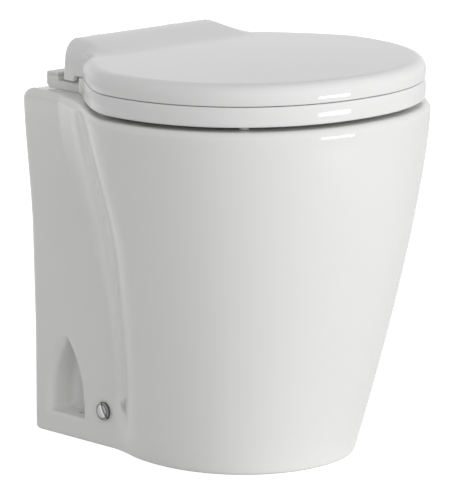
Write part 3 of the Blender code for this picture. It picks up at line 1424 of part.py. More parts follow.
def make_clamp(x, steel):
    """A worm clamp round the hose where it leaves the port, with its screw box below."""
    inner = HOSE_RADIUS + FIT
    bm = bmesh.new()
    add_ring(bm, inner, inner + CLAMP_THICKNESS, CLAMP_WIDTH, "X", (x, PORT_Y, PUMP_AXIS_HEIGHT))
    clamp = make_object("hose_clamp", bm, steel)
    box = bmesh.new()
    top = PUMP_AXIS_HEIGHT - inner - CLAMP_THICKNESS / 2
    low = (x + CLAMP_THICKNESS / 2, PORT_Y - CLAMP_BOX / 2, top - CLAMP_BOX)
    add_box(box, low, (x + CLAMP_WIDTH - CLAMP_THICKNESS / 2, PORT_Y + CLAMP_BOX / 2, top))
    combine(clamp, make_cutter("clamp_box", box), "UNION")


def barbed_profile(start, length, bore, radius, collar):
    """A hose tail: a collar, then barbs that slope towards its end."""
    shoulder = start + COLLAR_SHARE * length
    profile = [(bore, start), (collar, start), (collar, shoulder)]
    pitch = (1 - COLLAR_SHARE) * length / BARBS
    for i in range(BARBS):
        base = shoulder + pitch * i
        profile += [(radius, base), (radius + BARB_HEIGHT, base + BARB_SLOPE_SHARE * pitch)]
    return [*profile, (radius, start + length), (bore, start + length)]


# Rinse water line


def make_rinse_valve(plastic, coil_material, steel):
    """The inlet solenoid valve against the inside of the back wall, and its plunger along X."""
    size = VALVE_BLOCK
    low = VALVE_BLOCK_Z
    x, y = -WATER_SIDE, back_plane(low) - CERAMIC_WALL - FIT - size / 2
    bm = bmesh.new()
    add_box(bm, (x - size / 2, y - size / 2, low), (x + size / 2, y + size / 2, low + size))
    body = make_object("solenoid_valve_body", bm, plastic)
    middle = low + size / 2
    face = x + size / 2
    socket = bmesh.new()
    bore = PLUNGER_RADIUS + FIT
    depth = PLUNGER_LENGTH - PLUNGER_SOCKET + PLUNGER_TRAVEL + FIT
    add_rod(socket, bore, PLUNGER_SOCKET + OVERRUN, "X", (face - PLUNGER_SOCKET, y, middle))
    combine(body, make_cutter("plunger_socket", socket), "DIFFERENCE")
    coil = bmesh.new()
    add_turned(
        coil,
        [
            (0.0, COIL_LENGTH),
            (COIL_RADIUS, COIL_LENGTH),
            (COIL_RADIUS, 0.0),
            (bore, 0.0),
            (bore, depth),
            (0.0, depth),
        ],
        "X",
        (face + FIT, y, middle),
    )
    make_object("solenoid_coil", coil, coil_material)
    plunger = bmesh.new()
    place = (face - PLUNGER_SOCKET + FIT, y, middle)
    add_rod(plunger, PLUNGER_RADIUS, PLUNGER_LENGTH, "X", place)
    rod = make_object("solenoid_plunger", plunger, steel)
    set_origin(rod, place)
    return Vector((x, y, low))


def make_inlet_tail(foot, brass):
    bm = bmesh.new()
    top = foot.z - FIT
    profile = [(r, top - (along - top)) for r, along in
               barbed_profile(top, TAIL_LENGTH, TAIL_BORE, TAIL_RADIUS, TAIL_RADIUS + CAP_RIM)]
    add_turned(bm, profile, "Z", (foot.x, foot.y, 0.0), SMALL_STEPS, closed=True)
    make_object("inlet_hose_tail", bm, brass)


def make_vacuum_breaker(foot, plastic, cap_material, float_material):
    """A small chamber over the valve. Its float lifts to shut the air holes while water flows."""
    base = foot.z + VALVE_BLOCK + FIT
    inner = BREAKER_RADIUS - BREAKER_WALL
    floor = base + BREAKER_STEM
    top = base + BREAKER_HEIGHT
    stem = BREAKER_RADIUS * BREAKER_STEM_SHARE
    profile = [
        (0.0, base),
        (stem, base),
        (stem, floor - BREAKER_WALL),
        (BREAKER_RADIUS, floor - BREAKER_WALL),
        (BREAKER_RADIUS, top),
        (inner, top),
        (inner, floor),
        (0.0, floor),
    ]
    bm = bmesh.new()
    add_turned(bm, profile, "Z", (foot.x, foot.y, 0.0))
    body = make_object("vacuum_breaker_body", bm, plastic)
    side_z = floor + FLOAT_HEIGHT + FLOAT_TRAVEL + RINSE_HOSE_RADIUS
    bore = bmesh.new()
    add_rod(bore, NOZZLE_BORE, BREAKER_RADIUS + OVERRUN, "X", (foot.x, foot.y, side_z), HOSE_STEPS)
    combine(body, make_cutter("breaker_outlet", bore), "DIFFERENCE")
    make_breaker_cap(foot, floor + FLOAT_HEIGHT + FLOAT_TRAVEL + 2 * FIT, top + FIT, cap_material)
    piece = bmesh.new()
    place = (foot.x, foot.y, floor + FIT)
    add_rod(piece, FLOAT_RADIUS, FLOAT_HEIGHT, "Z", place)
    set_origin(make_object("vacuum_breaker_float", piece, float_material), place)
    return Vector((foot.x + BREAKER_RADIUS, foot.y, side_z))


def make_breaker_cap(foot, vent, bottom, material):
    """A cap whose vent tube reaches down to where the raised float shuts it."""
    tube = FLOAT_RADIUS / 2
    top = bottom + 2 * CAP_RIM
    profile = [
        (tube / 2, vent),
        (tube, vent),
        (tube, bottom),
        (BREAKER_RADIUS, bottom),
        (BREAKER_RADIUS, bottom + CAP_RIM),
        (BREAKER_CAP_SHARE * BREAKER_RADIUS, top),
        (tube / 2, top),
    ]
    bm = bmesh.new()
    add_turned(bm, profile, "Z", (foot.x, foot.y, 0.0), closed=True)
    make_object("vacuum_breaker_cap", bm, material)


def make_nozzle(chrome, plastic):
    """The rinse nozzle at the back of the basin, held by a nut behind the ceramic."""
    wall = SEAT_Y + BASIN_REAR
    head = wall - NOZZLE_STANDOFF - NOZZLE_HEAD_THICKNESS
    nut = wall + CERAMIC_WALL + NOZZLE_STANDOFF
    end = nut + NOZZLE_NUT_THICKNESS + NOZZLE_TAIL
    profile = [
        (0.0, head),
        (NOZZLE_HEAD_RADIUS - CAP_WALL, head),
        (NOZZLE_HEAD_RADIUS, head + NOZZLE_HEAD_THICKNESS / 2),
        (NOZZLE_HEAD_RADIUS, head + NOZZLE_HEAD_THICKNESS),
        (NOZZLE_STEM_RADIUS, head + NOZZLE_HEAD_THICKNESS),
        (NOZZLE_STEM_RADIUS, end),
        (NOZZLE_BORE, end),
        (NOZZLE_BORE, head + NOZZLE_HEAD_THICKNESS),
        (0.0, head + NOZZLE_HEAD_THICKNESS),
    ]
    bm = bmesh.new()
    add_turned(bm, profile, "Y", (0.0, 0.0, NOZZLE_Z))
    nozzle = make_object("rinse_nozzle", bm, chrome)
    slot = bmesh.new()
    half = NOZZLE_HEAD_RADIUS * NOZZLE_SLOT_SHARE
    add_box(
        slot,
        (-half, head - OVERRUN, NOZZLE_Z - CAP_WALL),
        (half, head + NOZZLE_HEAD_THICKNESS + CAP_WALL, NOZZLE_Z),
    )
    combine(nozzle, make_cutter("nozzle_slot", slot), "DIFFERENCE")
    bm = bmesh.new()
    place = (0.0, nut, NOZZLE_Z)
    add_ring(bm, NOZZLE_STEM_RADIUS + FIT, NOZZLE_NUT_RADIUS, NOZZLE_NUT_THICKNESS, "Y", place, HOSE_STEPS)
    make_object("rinse_nozzle_nut", bm, plastic)
    return Vector((0.0, end, NOZZLE_Z))


def make_rinse_hose(start, end, rubber):
    """From the vacuum breaker's side outlet to the back of the nozzle."""
    reach = 2 * RINSE_HOSE_RADIUS
    first = start + Vector((FIT, 0.0, 0.0))
    last = end + Vector((0.0, FIT, 0.0))
    points = [
        first,
        first + Vector((RINSE_LEAD_SHARE * reach, 0.0, 0.0)),
        (first + last) / 2 + Vector((RINSE_LEAD_SHARE * reach, RINSE_BOW_SHARE * reach, 0.0)),
        last + Vector((0.0, RINSE_LEAD_SHARE * reach, 0.0)),
        last,
    ]
    bm = bmesh.new()
    add_hose(bm, points, NOZZLE_BORE, RINSE_HOSE_RADIUS, 10)
    make_object("rinse_hose", bm, rubber)


def make_materials():
    return {
        "glazed ceramic": make_material("glazed ceramic", (0.86, 0.86, 0.84), 0.08),
        "seat plastic": make_material("seat plastic", (0.87, 0.87, 0.86), 0.18),
        "white plastic": make_material("white plastic", (0.80, 0.80, 0.79), 0.35),
        "black plastic": make_material("black plastic", (0.03, 0.03, 0.032), 0.45),
        "grey plastic": make_material("grey plastic", (0.25, 0.26, 0.27), 0.5),
        "rubber": make_material("rubber", (0.035, 0.035, 0.035), 0.75),
        "white rubber": make_material("white rubber", (0.7, 0.7, 0.68), 0.6),
        "hose rubber": make_material("hose rubber", (0.62, 0.63, 0.62), 0.5),
        "chrome": make_material("chrome", (0.78, 0.78, 0.79), 0.07, 1.0),
        "steel": make_material("steel", (0.55, 0.55, 0.56), 0.3, 1.0),
        "brass": make_material("brass", (0.66, 0.47, 0.2), 0.3, 1.0),
        "copper": make_material("copper", (0.62, 0.3, 0.17), 0.35, 1.0),
        "motor paint": make_material("motor paint", (0.09, 0.1, 0.12), 0.4),
        "ferrite": make_material("ferrite", (0.07, 0.07, 0.075), 0.6),
        "lamination": make_material("lamination", (0.3, 0.3, 0.31), 0.45, 1.0),
        "carbon": make_material("carbon", (0.04, 0.04, 0.04), 0.7),
    }


def main():
    clear_scene()
    m = make_materials()
    make_bowl(m["glazed ceramic"])
    make_side_fixings(m["grey plastic"], m["steel"], m["chrome"])
    make_seat(m["seat plastic"])
    make_seat_bumpers(m["white rubber"])
    make_lid(m["seat plastic"])
    make_lid_bumpers(m["white rubber"])
    make_hinge_block(m["white plastic"])
    make_hinge_cover(m["white plastic"])
    make_seat_bolts(m["steel"], m["white plastic"])
    make_hinge_pins(m["steel"])
    make_housing(m["black plastic"], m["rubber"])
    make_blade(m["steel"])
    make_chopper_plate(m["steel"])
    make_impeller(m["grey plastic"])
    make_flange(m["black plastic"], m["rubber"])
    make_motor(m["motor paint"], m["ferrite"], m["black plastic"], m["steel"], m["carbon"])
    make_rotor(m["steel"], m["lamination"], m["copper"])
    make_cradle(m["grey plastic"], m["rubber"])
    make_cable_gland(m["black plastic"])
    make_discharge(m["hose rubber"], m["black plastic"], m["steel"])
    foot = make_rinse_valve(m["white plastic"], m["black plastic"], m["steel"])
    make_inlet_tail(foot, m["brass"])
    outlet = make_vacuum_breaker(foot, m["white plastic"], m["grey plastic"], m["rubber"])
    nozzle_end = make_nozzle(m["chrome"], m["grey plastic"])
    make_rinse_hose(outlet, nozzle_end, m["hose rubber"])


main()
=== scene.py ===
"""The electric marine toilet as it is photographed.

A glazed bowl with a moulded seat and lid, chrome caps over its side screws, and the pump inside.
Metres, +Z up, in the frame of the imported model. The toilet faces -Y and is symmetric about X = 0.
A length whose name ends in BACK is measured from the rim's middle, and one that ends in SIDE from X = 0.
"""

import json
import math
from collections import namedtuple
import bmesh
import bpy
from mathutils import Matrix, Vector


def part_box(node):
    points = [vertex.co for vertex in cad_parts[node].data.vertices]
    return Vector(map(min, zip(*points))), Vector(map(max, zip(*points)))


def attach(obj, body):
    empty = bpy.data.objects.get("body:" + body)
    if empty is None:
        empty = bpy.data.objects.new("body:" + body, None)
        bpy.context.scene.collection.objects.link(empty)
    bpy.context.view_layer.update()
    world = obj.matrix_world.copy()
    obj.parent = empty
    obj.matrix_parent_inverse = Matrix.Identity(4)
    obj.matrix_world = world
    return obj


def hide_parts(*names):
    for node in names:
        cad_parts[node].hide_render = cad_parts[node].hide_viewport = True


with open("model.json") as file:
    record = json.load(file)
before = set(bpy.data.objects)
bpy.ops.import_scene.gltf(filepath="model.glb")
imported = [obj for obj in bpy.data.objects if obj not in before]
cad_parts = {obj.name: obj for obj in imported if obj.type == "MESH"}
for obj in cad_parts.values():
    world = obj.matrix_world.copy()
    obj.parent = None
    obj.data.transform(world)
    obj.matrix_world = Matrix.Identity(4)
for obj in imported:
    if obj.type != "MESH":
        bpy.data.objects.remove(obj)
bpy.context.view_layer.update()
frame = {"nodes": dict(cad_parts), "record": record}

NODES = frame["nodes"]

Lamp = namedtuple("Lamp", "azimuth elevation distance width height level")
FINISH_DEFAULTS = {"metallic": 0.0, "specular": 0.5, "mottle": 0.02, "mottle_scale": 9.0,
                   "grain_scale": 900.0, "grain": 0.00002}
Finish = namedtuple("Finish", ["colour", "roughness", *FINISH_DEFAULTS], defaults=FINISH_DEFAULTS.values())
Steps = namedtuple("Steps", "front flank side corner back side_power")
# An oval (half_width, front, rear, centre_y, power), cut at its rear by a slanted line on each side (flank),
# runs over a blend into a square back (arm, splay, back_y, corner).
Plan = namedtuple("Plan", "half_width front rear centre_y power arm splay back_y corner blend flank")

# Camera, read from the photograph
CAMERA_PLACE = (-3.1008, -3.30665, 1.1578)
VIEW_AZIMUTH_DEGREES = 43.384
VIEW_ELEVATION_DEGREES = 11.614
FOCAL_PIXELS = 4423.24
PRINCIPAL_PIXEL = (247.03, 234.61)
FRAME_PIXELS = (450, 490)
SENSOR = 36.0
CLIP_END = 50.0

# Light and floor. Azimuth 0 is in front (-Y), positive towards +X.
FRONT_LIGHT = 1.79
FRONT_AZIMUTH_DEGREES = -8.0
TOP_LIGHT = 0.33
KEY_STRIP = Lamp(azimuth=18.5, elevation=-8.2, distance=1.3, width=0.47, height=0.135, level=14.0)
REAR_LIGHT = Lamp(azimuth=198.0, elevation=6.0, distance=2.2, width=1.8, height=1.6, level=1.5)
FLOOR_REACH = 6.0
FLOOR_GREY = 0.8
FLOOR_GLOW = 0.86
FLOOR_GLOSS_SHARE = 0.5
WHITE = (1.0, 1.0, 1.0, 1.0)

# Finishes, one for each of the record's material slots
CLOUD_DETAIL = 3.0
CLOUD_EDGES = (0.3, 0.7)
GRAIN_DETAIL = 2.0
WEAR = 0.2
FINISHES = {
    "glazed_ceramic": Finish((0.86, 0.86, 0.845), 0.05, specular=0.42, mottle=0.006, mottle_scale=5.0,
                             grain_scale=120.0, grain=0.000012),
    "seat_plastic": Finish((0.87, 0.87, 0.865), 0.07, specular=0.36, mottle=0.005, mottle_scale=7.0,
                           grain_scale=90.0, grain=0.000008),
    "white_plastic": Finish((0.80, 0.80, 0.79), 0.32, mottle=0.012),
    "black_plastic": Finish((0.03, 0.03, 0.032), 0.42, mottle=0.12, grain=0.00004),
    "grey_plastic": Finish((0.25, 0.26, 0.27), 0.48, mottle=0.06, grain=0.00005),
    "rubber": Finish((0.035, 0.035, 0.035), 0.72, specular=0.3, mottle=0.15, grain=0.00006),
    "white_rubber": Finish((0.70, 0.70, 0.68), 0.6, specular=0.3, mottle=0.03),
    "hose_rubber": Finish((0.62, 0.63, 0.62), 0.45, mottle=0.03, grain=0.00005),
    "chrome": Finish((0.78, 0.78, 0.79), 0.06, metallic=1.0, mottle=0.01, grain=0.000004),
    "steel": Finish((0.55, 0.55, 0.56), 0.28, metallic=1.0, mottle=0.05, grain_scale=1400.0),
    "brass": Finish((0.66, 0.47, 0.20), 0.28, metallic=1.0, mottle=0.06),
    "copper": Finish((0.62, 0.30, 0.17), 0.34, metallic=1.0, mottle=0.08),
    "motor_paint": Finish((0.09, 0.10, 0.12), 0.4, mottle=0.06, grain_scale=500.0),
    "ferrite": Finish((0.07, 0.07, 0.075), 0.6, mottle=0.1, grain=0.00006),
    "carbon": Finish((0.04, 0.04, 0.04), 0.68, mottle=0.15, grain=0.00006),
}

# Bowl
RIM_HEIGHT = 0.371
RIM_HALF_WIDTH = 0.1905
RIM_FRONT = 0.1825
RIM_REAR = 0.1615
BACK_REACH = 0.234
BACK_LEAN = 0.007
LEAN_TOP = 0.355
LEAN_RUN = 0.240
FOOT_HALF_WIDTH = 0.117
FOOT_FRONT = 0.110
FOOT_SETBACK = 0.016
BACK_HALF_WIDTH = 0.104
DECK_HALF_WIDTH = 0.1105
DECK_SPLAY = 0.005
DECK_SPLAY_RUN = 0.082
SPLAY_HEIGHT = 0.150
BACK_CORNER = 0.014
TAPER_HEIGHT = 0.362
CREASE_BLEND = 0.005
CREASE_END_HEIGHT = 0.058
CREASE_END_RUN = 0.012
FOOT_BLEND = 0.016
DECK_BLEND = 0.040
SHOULDER = 0.0078
FOOT_EDGE = 0.004
REAR_SHOULDER = 0.005
REAR_SHOULDER_RUN = 0.024
CERAMIC_WALL = 0.010
TAPER_POWER = 1.35
OVAL_POWER = 2.12
DECK_THICKNESS = 0.018
BASIN_HALF_WIDTH = 0.126
BASIN_FRONT = 0.131
BASIN_REAR = 0.117
BASIN_LIP = 0.006
BASIN_STRAIGHT_HEIGHT = 0.320
SUMP_HEIGHT = 0.190
OUTLET_RADIUS = 0.027
OUTLET_FORWARD = 0.020
SPIGOT_WALL = 0.008
SPIGOT_END_HEIGHT = 0.160
BASIN_SHARES = ((1.0, 0.0), (0.9, 0.18), (0.72, 0.38), (0.46, 0.6), (0.19, 0.8), (0.0, 1.0))
BASIN_BEFORE = (1.0, -0.18)
BASIN_AFTER = (0.0, 1.2)
DECK_SHARES = (0.06, 0.2, 0.45, 0.7, 0.9)

# The bowl's rear flanks, which run straighter than the solid's: how far back they meet the back, low down and
# with what is gained up to the rim
FLANK_REACH = 0.020
CREASE_BACK = 0.084
CREASE_GAIN = 0.058
CREASE_GAIN_START_HEIGHT = 0.050
CREASE_GAIN_POWER = 1.6

# Niches, rear arch and holes
NICHE_CENTRE_BACK = 0.1685
NICHE_HALF_LENGTH = 0.028
NICHE_FLOOR_HEIGHT = 0.024
NICHE_HEIGHT = 0.084
NICHE_DEPTH = 0.035
NICHE_POWER = 2.6
NICHE_LIPS = {"front": 0.0015, "rear": 0.011, "top": 0.006, "floor": 0.004}
NICHE_CORNER = 0.007
NICHE_TIP_SHRINK = 2.2
NICHE_POINTS = 120
NICHE_ROUNDING = 5
FLOOR_HOLE_RADIUS = 0.003
FLOOR_HOLE_BACK = 0.165
FLOOR_HOLE_SIDE = 0.086
ACCESS_HALF_WIDTH = 0.050
ACCESS_HEIGHT = 0.230
ACCESS_LIP = 0.003
SCREW_BACK = 0.1085
SCREW_HEIGHT = 0.039
SCREW_HOLE_RADIUS = 0.0028
NOZZLE_HEIGHT = 0.336
NOZZLE_HOLE_RADIUS = 0.0083
BOLT_SIDE = 0.0725
BOLT_BACK = 0.1985
BOLT_HOLE_RADIUS = 0.0033

# Seat and lid
SEAT_HALF_WIDTH = 0.184
SEAT_FRONT = 0.1775
SEAT_REAR = 0.155
SEAT_LIFT = 0.0047
SEAT_THICKNESS = 0.0207
SEAT_FOOT_EDGE = 0.003
SEAT_TOP_EDGE = 0.0015
SEAT_BULGE_RADIUS = 0.060
SEAT_WIDEST = 0.0103
SEAT_OPENING = (0.108, 0.118, 0.100)
SEAT_OPENING_EDGE = 0.007
SEAT_POWER = 2.15
SEAT_TOP_SHARES = (0.15, 0.35, 0.55, 0.75, 0.9)
FLANK_HALF_WIDTH = 0.2078
FLANK_SLOPE = 0.68
FLANK_BLEND = 0.016
SEAT_BRIDGE_BACK = 0.137
ARM_HALF_WIDTH = 0.106
ARM_END_BACK = 0.1485
ARM_END_RADIUS = 0.008
ARM_BLEND = 0.020
ARM_THICKNESS = 0.012
ARM_PIN_SIDE = 0.076
DIP = 0.0065
DIP_START_BACK = 0.098
DIP_RUN = 0.032
HEEL_DROP = 0.003
HEEL_START_BACK = 0.095
LID_GAP = 0.0008
LID_HEIGHT = 0.0218
LID_EDGE_DEPTH = 0.0145
LID_EDGE_HEIGHT = 0.0155
LID_EDGE_POWER = 2.4
LID_TUCK = 0.0004
LID_FOOT_EDGE = 0.0010
LID_WALL = 0.005
LID_WALL_SHARES = (0.25, 0.5, 0.75, 1.0)
LID_INNER_EDGE = 0.002
LID_INNER_EDGE_DROP = 0.010
LID_TOP_SHARES = (*(percent / 100 for percent in range(97, 52, -4)), 0.48, 0.4, 0.3, 0.2, 0.1)
LID_INNER_SHARES = (*(percent / 100 for percent in range(95, 49, -5)), 0.35, 0.2)
LID_ARM_HALF_WIDTH = 0.104
LID_BACK = 0.1785
LID_REAR_LEAN = 0.0045
LID_REAR_RUN = 0.030
LID_BACK_CORNER = 0.014
EAR_DROP = 0.006
EAR_START_BACK = 0.153
EAR_STEP = 0.0022
HUMP_RISE = 0.0099
HUMP_START_BACK = 0.085
HUMP_RUN = 0.075
HUMP_HALF_WIDTH = 0.091
HUMP_SIDE_RUN = 0.024
CROWN = 0.0015

# Hinge
CHEEK_OUTER = 0.0939
CHEEK_INNER = 0.0893
CHEEK_FRONT_BACK = 0.152
CHEEK_END_BACK = 0.191
CHEEK_HEIGHT = 0.3804
BLOCK_PLATE_HEIGHT = 0.3716
HINGE_BACK = 0.168
HINGE_HEIGHT = 0.406
HINGE_BOSS_RADIUS = 0.0075
PIN_HOLE_RADIUS = 0.0038
LUG_THICKNESS = 0.012
LUG_SIDE = 0.062
LID_LUG_SIDE = 0.048
SLOT_SIDE_GAP = 0.001
SLOT_TOP_GAP = 0.002
BLOCK_EDGE = 0.0005

# Chrome cap
CAP_RADIUS = 0.010
CAP_THICKNESS = 0.0045
CAP_RIM = 0.0016
CAP_GAP = 0.0003
CAP_SOCKET_RADIUS = 0.0049
CAP_SOCKET_DEPTH = 0.0031
CAP_FOOT_INSET = 0.0004
CAP_FOOT_RISE = 0.0005
CAP_DISH = 0.0012
# Painted reflections in the caps' chrome colour: grey levels over the distance from the middle (a painted
# dark ring near the rim) and across a slant (a painted bright highlight streak with a dark band beside it)
CAP_PAINTED_REFLECTION_RINGS = ((0.0, 0.72), (0.62, 0.66), (0.78, 0.16), (0.88, 0.42), (1.0, 0.20))
CAP_PAINTED_HIGHLIGHT_STREAK = ((0.30, 0.74), (0.47, 0.80), (0.54, 1.0), (0.60, 0.95), (0.66, 0.12), (0.76, 0.62))
CAP_PAINTED_STREAK_RUN = (0.0, -0.43, 0.25)

# Small distances, and edges
OVERRUN = 0.004
TOUCH = 0.00003
WELD_DISTANCE = 0.000002
SMOOTH_ANGLE_DEGREES = 32.0
EDGE_ANGLE_DEGREES = 40.0
NODE_EDGE = 0.0006
NODE_EDGE_SHARE = 0.08

# Fineness of the meshes
BOWL_STEPS = Steps(front=44, flank=34, side=30, corner=8, back=12, side_power=1.6)
RIM_STEPS = Steps(front=44, flank=30, side=40, corner=8, back=12, side_power=1.0)
FLANK_CROWDING = 1.4
BOWL_LEVELS = 70
CAVITY_LEVELS = 12
BASIN_STEPS = 5
NICHE_STEPS = 20
ACCESS_STEPS = 36
BOSS_STEPS = 24
ROD_STEPS = 24
SEAT_SIDE_STEPS = 8
LID_EDGE_STEPS = 16
CAP_STEPS = 64
CAP_DISH_STEPS = 8

# Derived places. SEAT_Y is the middle of rim and seat, and the middle of the footprint is at Y = 0.
SEAT_Y = (RIM_FRONT + BACK_REACH) / 2 - BACK_REACH
BACK_Y = SEAT_Y + BACK_REACH
SEAT_Z = RIM_HEIGHT + SEAT_LIFT
SEAT_TOP_Z = SEAT_Z + SEAT_THICKNESS
LID_Z = SEAT_TOP_Z + LID_GAP
LID_TOP_Z = LID_Z + LID_HEIGHT
HINGE_Y = SEAT_Y + HINGE_BACK
OUTLET_Y = SEAT_Y - OUTLET_FORWARD
SHOULDER_Z = RIM_HEIGHT - SHOULDER
CAVITY_TOP_Z = RIM_HEIGHT - DECK_THICKNESS


# Camera, light and stage


def make_camera():
    """The photograph's camera, turned a little so that its middle pixel is the frame's middle."""
    a, e = math.radians(VIEW_AZIMUTH_DEGREES), math.radians(VIEW_ELEVATION_DEGREES)
    back = Vector((-math.sin(a) * math.cos(e), -math.cos(a) * math.cos(e), math.sin(e)))
    right = Vector((math.cos(a), -math.sin(a), 0.0))
    up = back.cross(right)
    across = (FRAME_PIXELS[0] / 2 - PRINCIPAL_PIXEL[0]) / FOCAL_PIXELS
    rise = (PRINCIPAL_PIXEL[1] - FRAME_PIXELS[1] / 2) / FOCAL_PIXELS
    forward = (right * across + up * rise - back).normalized()
    turn = (-back).rotation_difference(forward).to_matrix()
    data = bpy.data.cameras.new("camera")
    data.sensor_width = SENSOR
    data.lens = FOCAL_PIXELS * SENSOR / max(FRAME_PIXELS)
    data.clip_end = CLIP_END
    camera = bpy.data.objects.new("camera", data)
    axes = turn @ Matrix((right, up, back)).transposed()
    camera.matrix_world = Matrix.Translation(CAMERA_PLACE) @ axes.to_4x4()
    bpy.context.collection.objects.link(camera)
    bpy.context.scene.camera = camera


def add_maths(tree, kind, operation, *inputs):
    """A maths node whose inputs are given as sockets or as plain values."""
    node = tree.nodes.new(kind)
    node.operation = operation
    for socket, value in zip(node.inputs, inputs):
        if isinstance(value, bpy.types.NodeSocket):
            tree.links.new(value, socket)
        else:
            socket.default_value = value
    return node.outputs


def seen_white(tree, straight=1.0, mirrored=1.0):
    """The share of background white that a ray shows: straight on, or in gloss or glass."""
    ray = tree.nodes.new("ShaderNodeLightPath").outputs
    bounced = add_maths(tree, "ShaderNodeMath", "MAXIMUM", ray["Is Glossy Ray"], ray["Is Transmission Ray"])
    shown = add_maths(tree, "ShaderNodeMath", "MULTIPLY", bounced[0], mirrored)
    return add_maths(tree, "ShaderNodeMath", "MULTIPLY_ADD", ray["Is Camera Ray"], straight, shown[0])[0]


def make_world():
    """Soft studio light from the front and from above, before a white background."""
    world = bpy.data.worlds.new("studio")
    bpy.context.scene.world = world
    world.use_nodes = True
    tree = world.node_tree
    tree.nodes.clear()
    place = tree.nodes.new("ShaderNodeTexCoord").outputs["Generated"]
    a = math.radians(FRONT_AZIMUTH_DEGREES)
    front = (FRONT_LIGHT * math.sin(a), -FRONT_LIGHT * math.cos(a), 0.0)
    lobes = []
    for direction in (front, (0.0, 0.0, TOP_LIGHT)):
        facing = add_maths(tree, "ShaderNodeVectorMath", "DOT_PRODUCT", place, direction)["Value"]
        lobes.append(add_maths(tree, "ShaderNodeMath", "MAXIMUM", facing, 0.0)[0])
    light = tree.nodes.new("ShaderNodeBackground")
    tree.links.new(add_maths(tree, "ShaderNodeMath", "ADD", *lobes)[0], light.inputs["Strength"])
    white = tree.nodes.new("ShaderNodeBackground")
    white.inputs["Color"].default_value = WHITE
    mix = tree.nodes.new("ShaderNodeMixShader")
    tree.links.new(seen_white(tree), mix.inputs["Fac"])
    tree.links.new(light.outputs[0], mix.inputs[1])
    tree.links.new(white.outputs[0], mix.inputs[2])
    output = tree.nodes.new("ShaderNodeOutputWorld")
    tree.links.new(mix.outputs[0], output.inputs["Surface"])


def make_lamp(name, lamp):
    """A rectangular lamp that faces the rim's middle."""
    a, e = math.radians(lamp.azimuth), math.radians(lamp.elevation)
    away = Vector((math.sin(a) * math.cos(e), -math.cos(a) * math.cos(e), math.sin(e)))
    data = bpy.data.lights.new(name, "AREA")
    data.shape = "RECTANGLE"
    data.size, data.size_y = lamp.width, lamp.height
    data.energy = lamp.level * math.pi * lamp.width * lamp.height
    obj = bpy.data.objects.new(name, data)
    obj.location = Vector((0.0, SEAT_Y, RIM_HEIGHT)) + away * lamp.distance
    obj.rotation_euler = away.to_track_quat("Z", "Y").to_euler()
    bpy.context.collection.objects.link(obj)
    return obj


def make_lamps():
    make_lamp("key_strip", KEY_STRIP)
    make_lamp("rear_light", REAR_LIGHT).visible_glossy = False


def make_floor():
    """A pale floor that shows white, with the object's soft shadow on it."""
    bm = bmesh.new()
    corners = [(FLOOR_REACH * x, FLOOR_REACH * y, 0.0) for x, y in ((-1, -1), (1, -1), (1, 1), (-1, 1))]
    bm.faces.new([bm.verts.new(corner) for corner in corners])
    floor = make_object("floor", bm)
    material = bpy.data.materials.new("floor")
    material.use_nodes = True
    tree = material.node_tree
    tree.nodes.clear()
    paint = tree.nodes.new("ShaderNodeBsdfDiffuse")
    paint.inputs["Color"].default_value = (FLOOR_GREY, FLOOR_GREY, FLOOR_GREY, 1.0)
    glow = tree.nodes.new("ShaderNodeEmission")
    shown = seen_white(tree, FLOOR_GLOW, FLOOR_GLOW * FLOOR_GLOSS_SHARE)
    tree.links.new(shown, glow.inputs["Strength"])
    glow.inputs["Color"].default_value = WHITE
    both = tree.nodes.new("ShaderNodeAddShader")
    tree.links.new(paint.outputs[0], both.inputs[0])
    tree.links.new(glow.outputs[0], both.inputs[1])
    output = tree.nodes.new("ShaderNodeOutputMaterial")
    tree.links.new(both.outputs[0], output.inputs["Surface"])
    floor.data.materials.append(material)


# Materials


def make_finish(name, finish):
    """Faint colour clouds, a varying gloss and a fine surface grain."""
    material = bpy.data.materials.new(name)
    material.use_nodes = True
    tree = material.node_tree
    shader = tree.nodes["Principled BSDF"]
    shader.inputs["Metallic"].default_value = finish.metallic
    shader.inputs["Specular IOR Level"].default_value = finish.specular
    place = tree.nodes.new("ShaderNodeTexCoord")
    clouds = tree.nodes.new("ShaderNodeTexNoise")
    clouds.inputs["Scale"].default_value = finish.mottle_scale
    clouds.inputs["Detail"].default_value = CLOUD_DETAIL
    tree.links.new(place.outputs["Object"], clouds.inputs["Vector"])
    ramp = tree.nodes.new("ShaderNodeValToRGB")
    changes = (-finish.mottle, finish.mottle)
    for element, position, change in zip(ramp.color_ramp.elements, CLOUD_EDGES, changes):
        element.position = position
        element.color = (*[min(c * (1 + change), 1.0) for c in finish.colour], 1.0)
    tree.links.new(clouds.outputs["Fac"], ramp.inputs["Fac"])
    tree.links.new(ramp.outputs["Color"], shader.inputs["Base Color"])
    gloss = tree.nodes.new("ShaderNodeMapRange")
    gloss.inputs["To Min"].default_value = finish.roughness * (1 - WEAR)
    gloss.inputs["To Max"].default_value = finish.roughness * (1 + WEAR)
    tree.links.new(clouds.outputs["Fac"], gloss.inputs["Value"])
    tree.links.new(gloss.outputs["Result"], shader.inputs["Roughness"])
    texture = tree.nodes.new("ShaderNodeTexNoise")
    texture.inputs["Scale"].default_value = finish.grain_scale
    texture.inputs["Detail"].default_value = GRAIN_DETAIL
    tree.links.new(place.outputs["Object"], texture.inputs["Vector"])
    bump = tree.nodes.new("ShaderNodeBump")
    bump.inputs["Distance"].default_value = finish.grain
    bump.inputs["Strength"].default_value = 1.0
    tree.links.new(texture.outputs["Fac"], bump.inputs["Height"])
    tree.links.new(bump.outputs["Normal"], shader.inputs["Normal"])
    return material


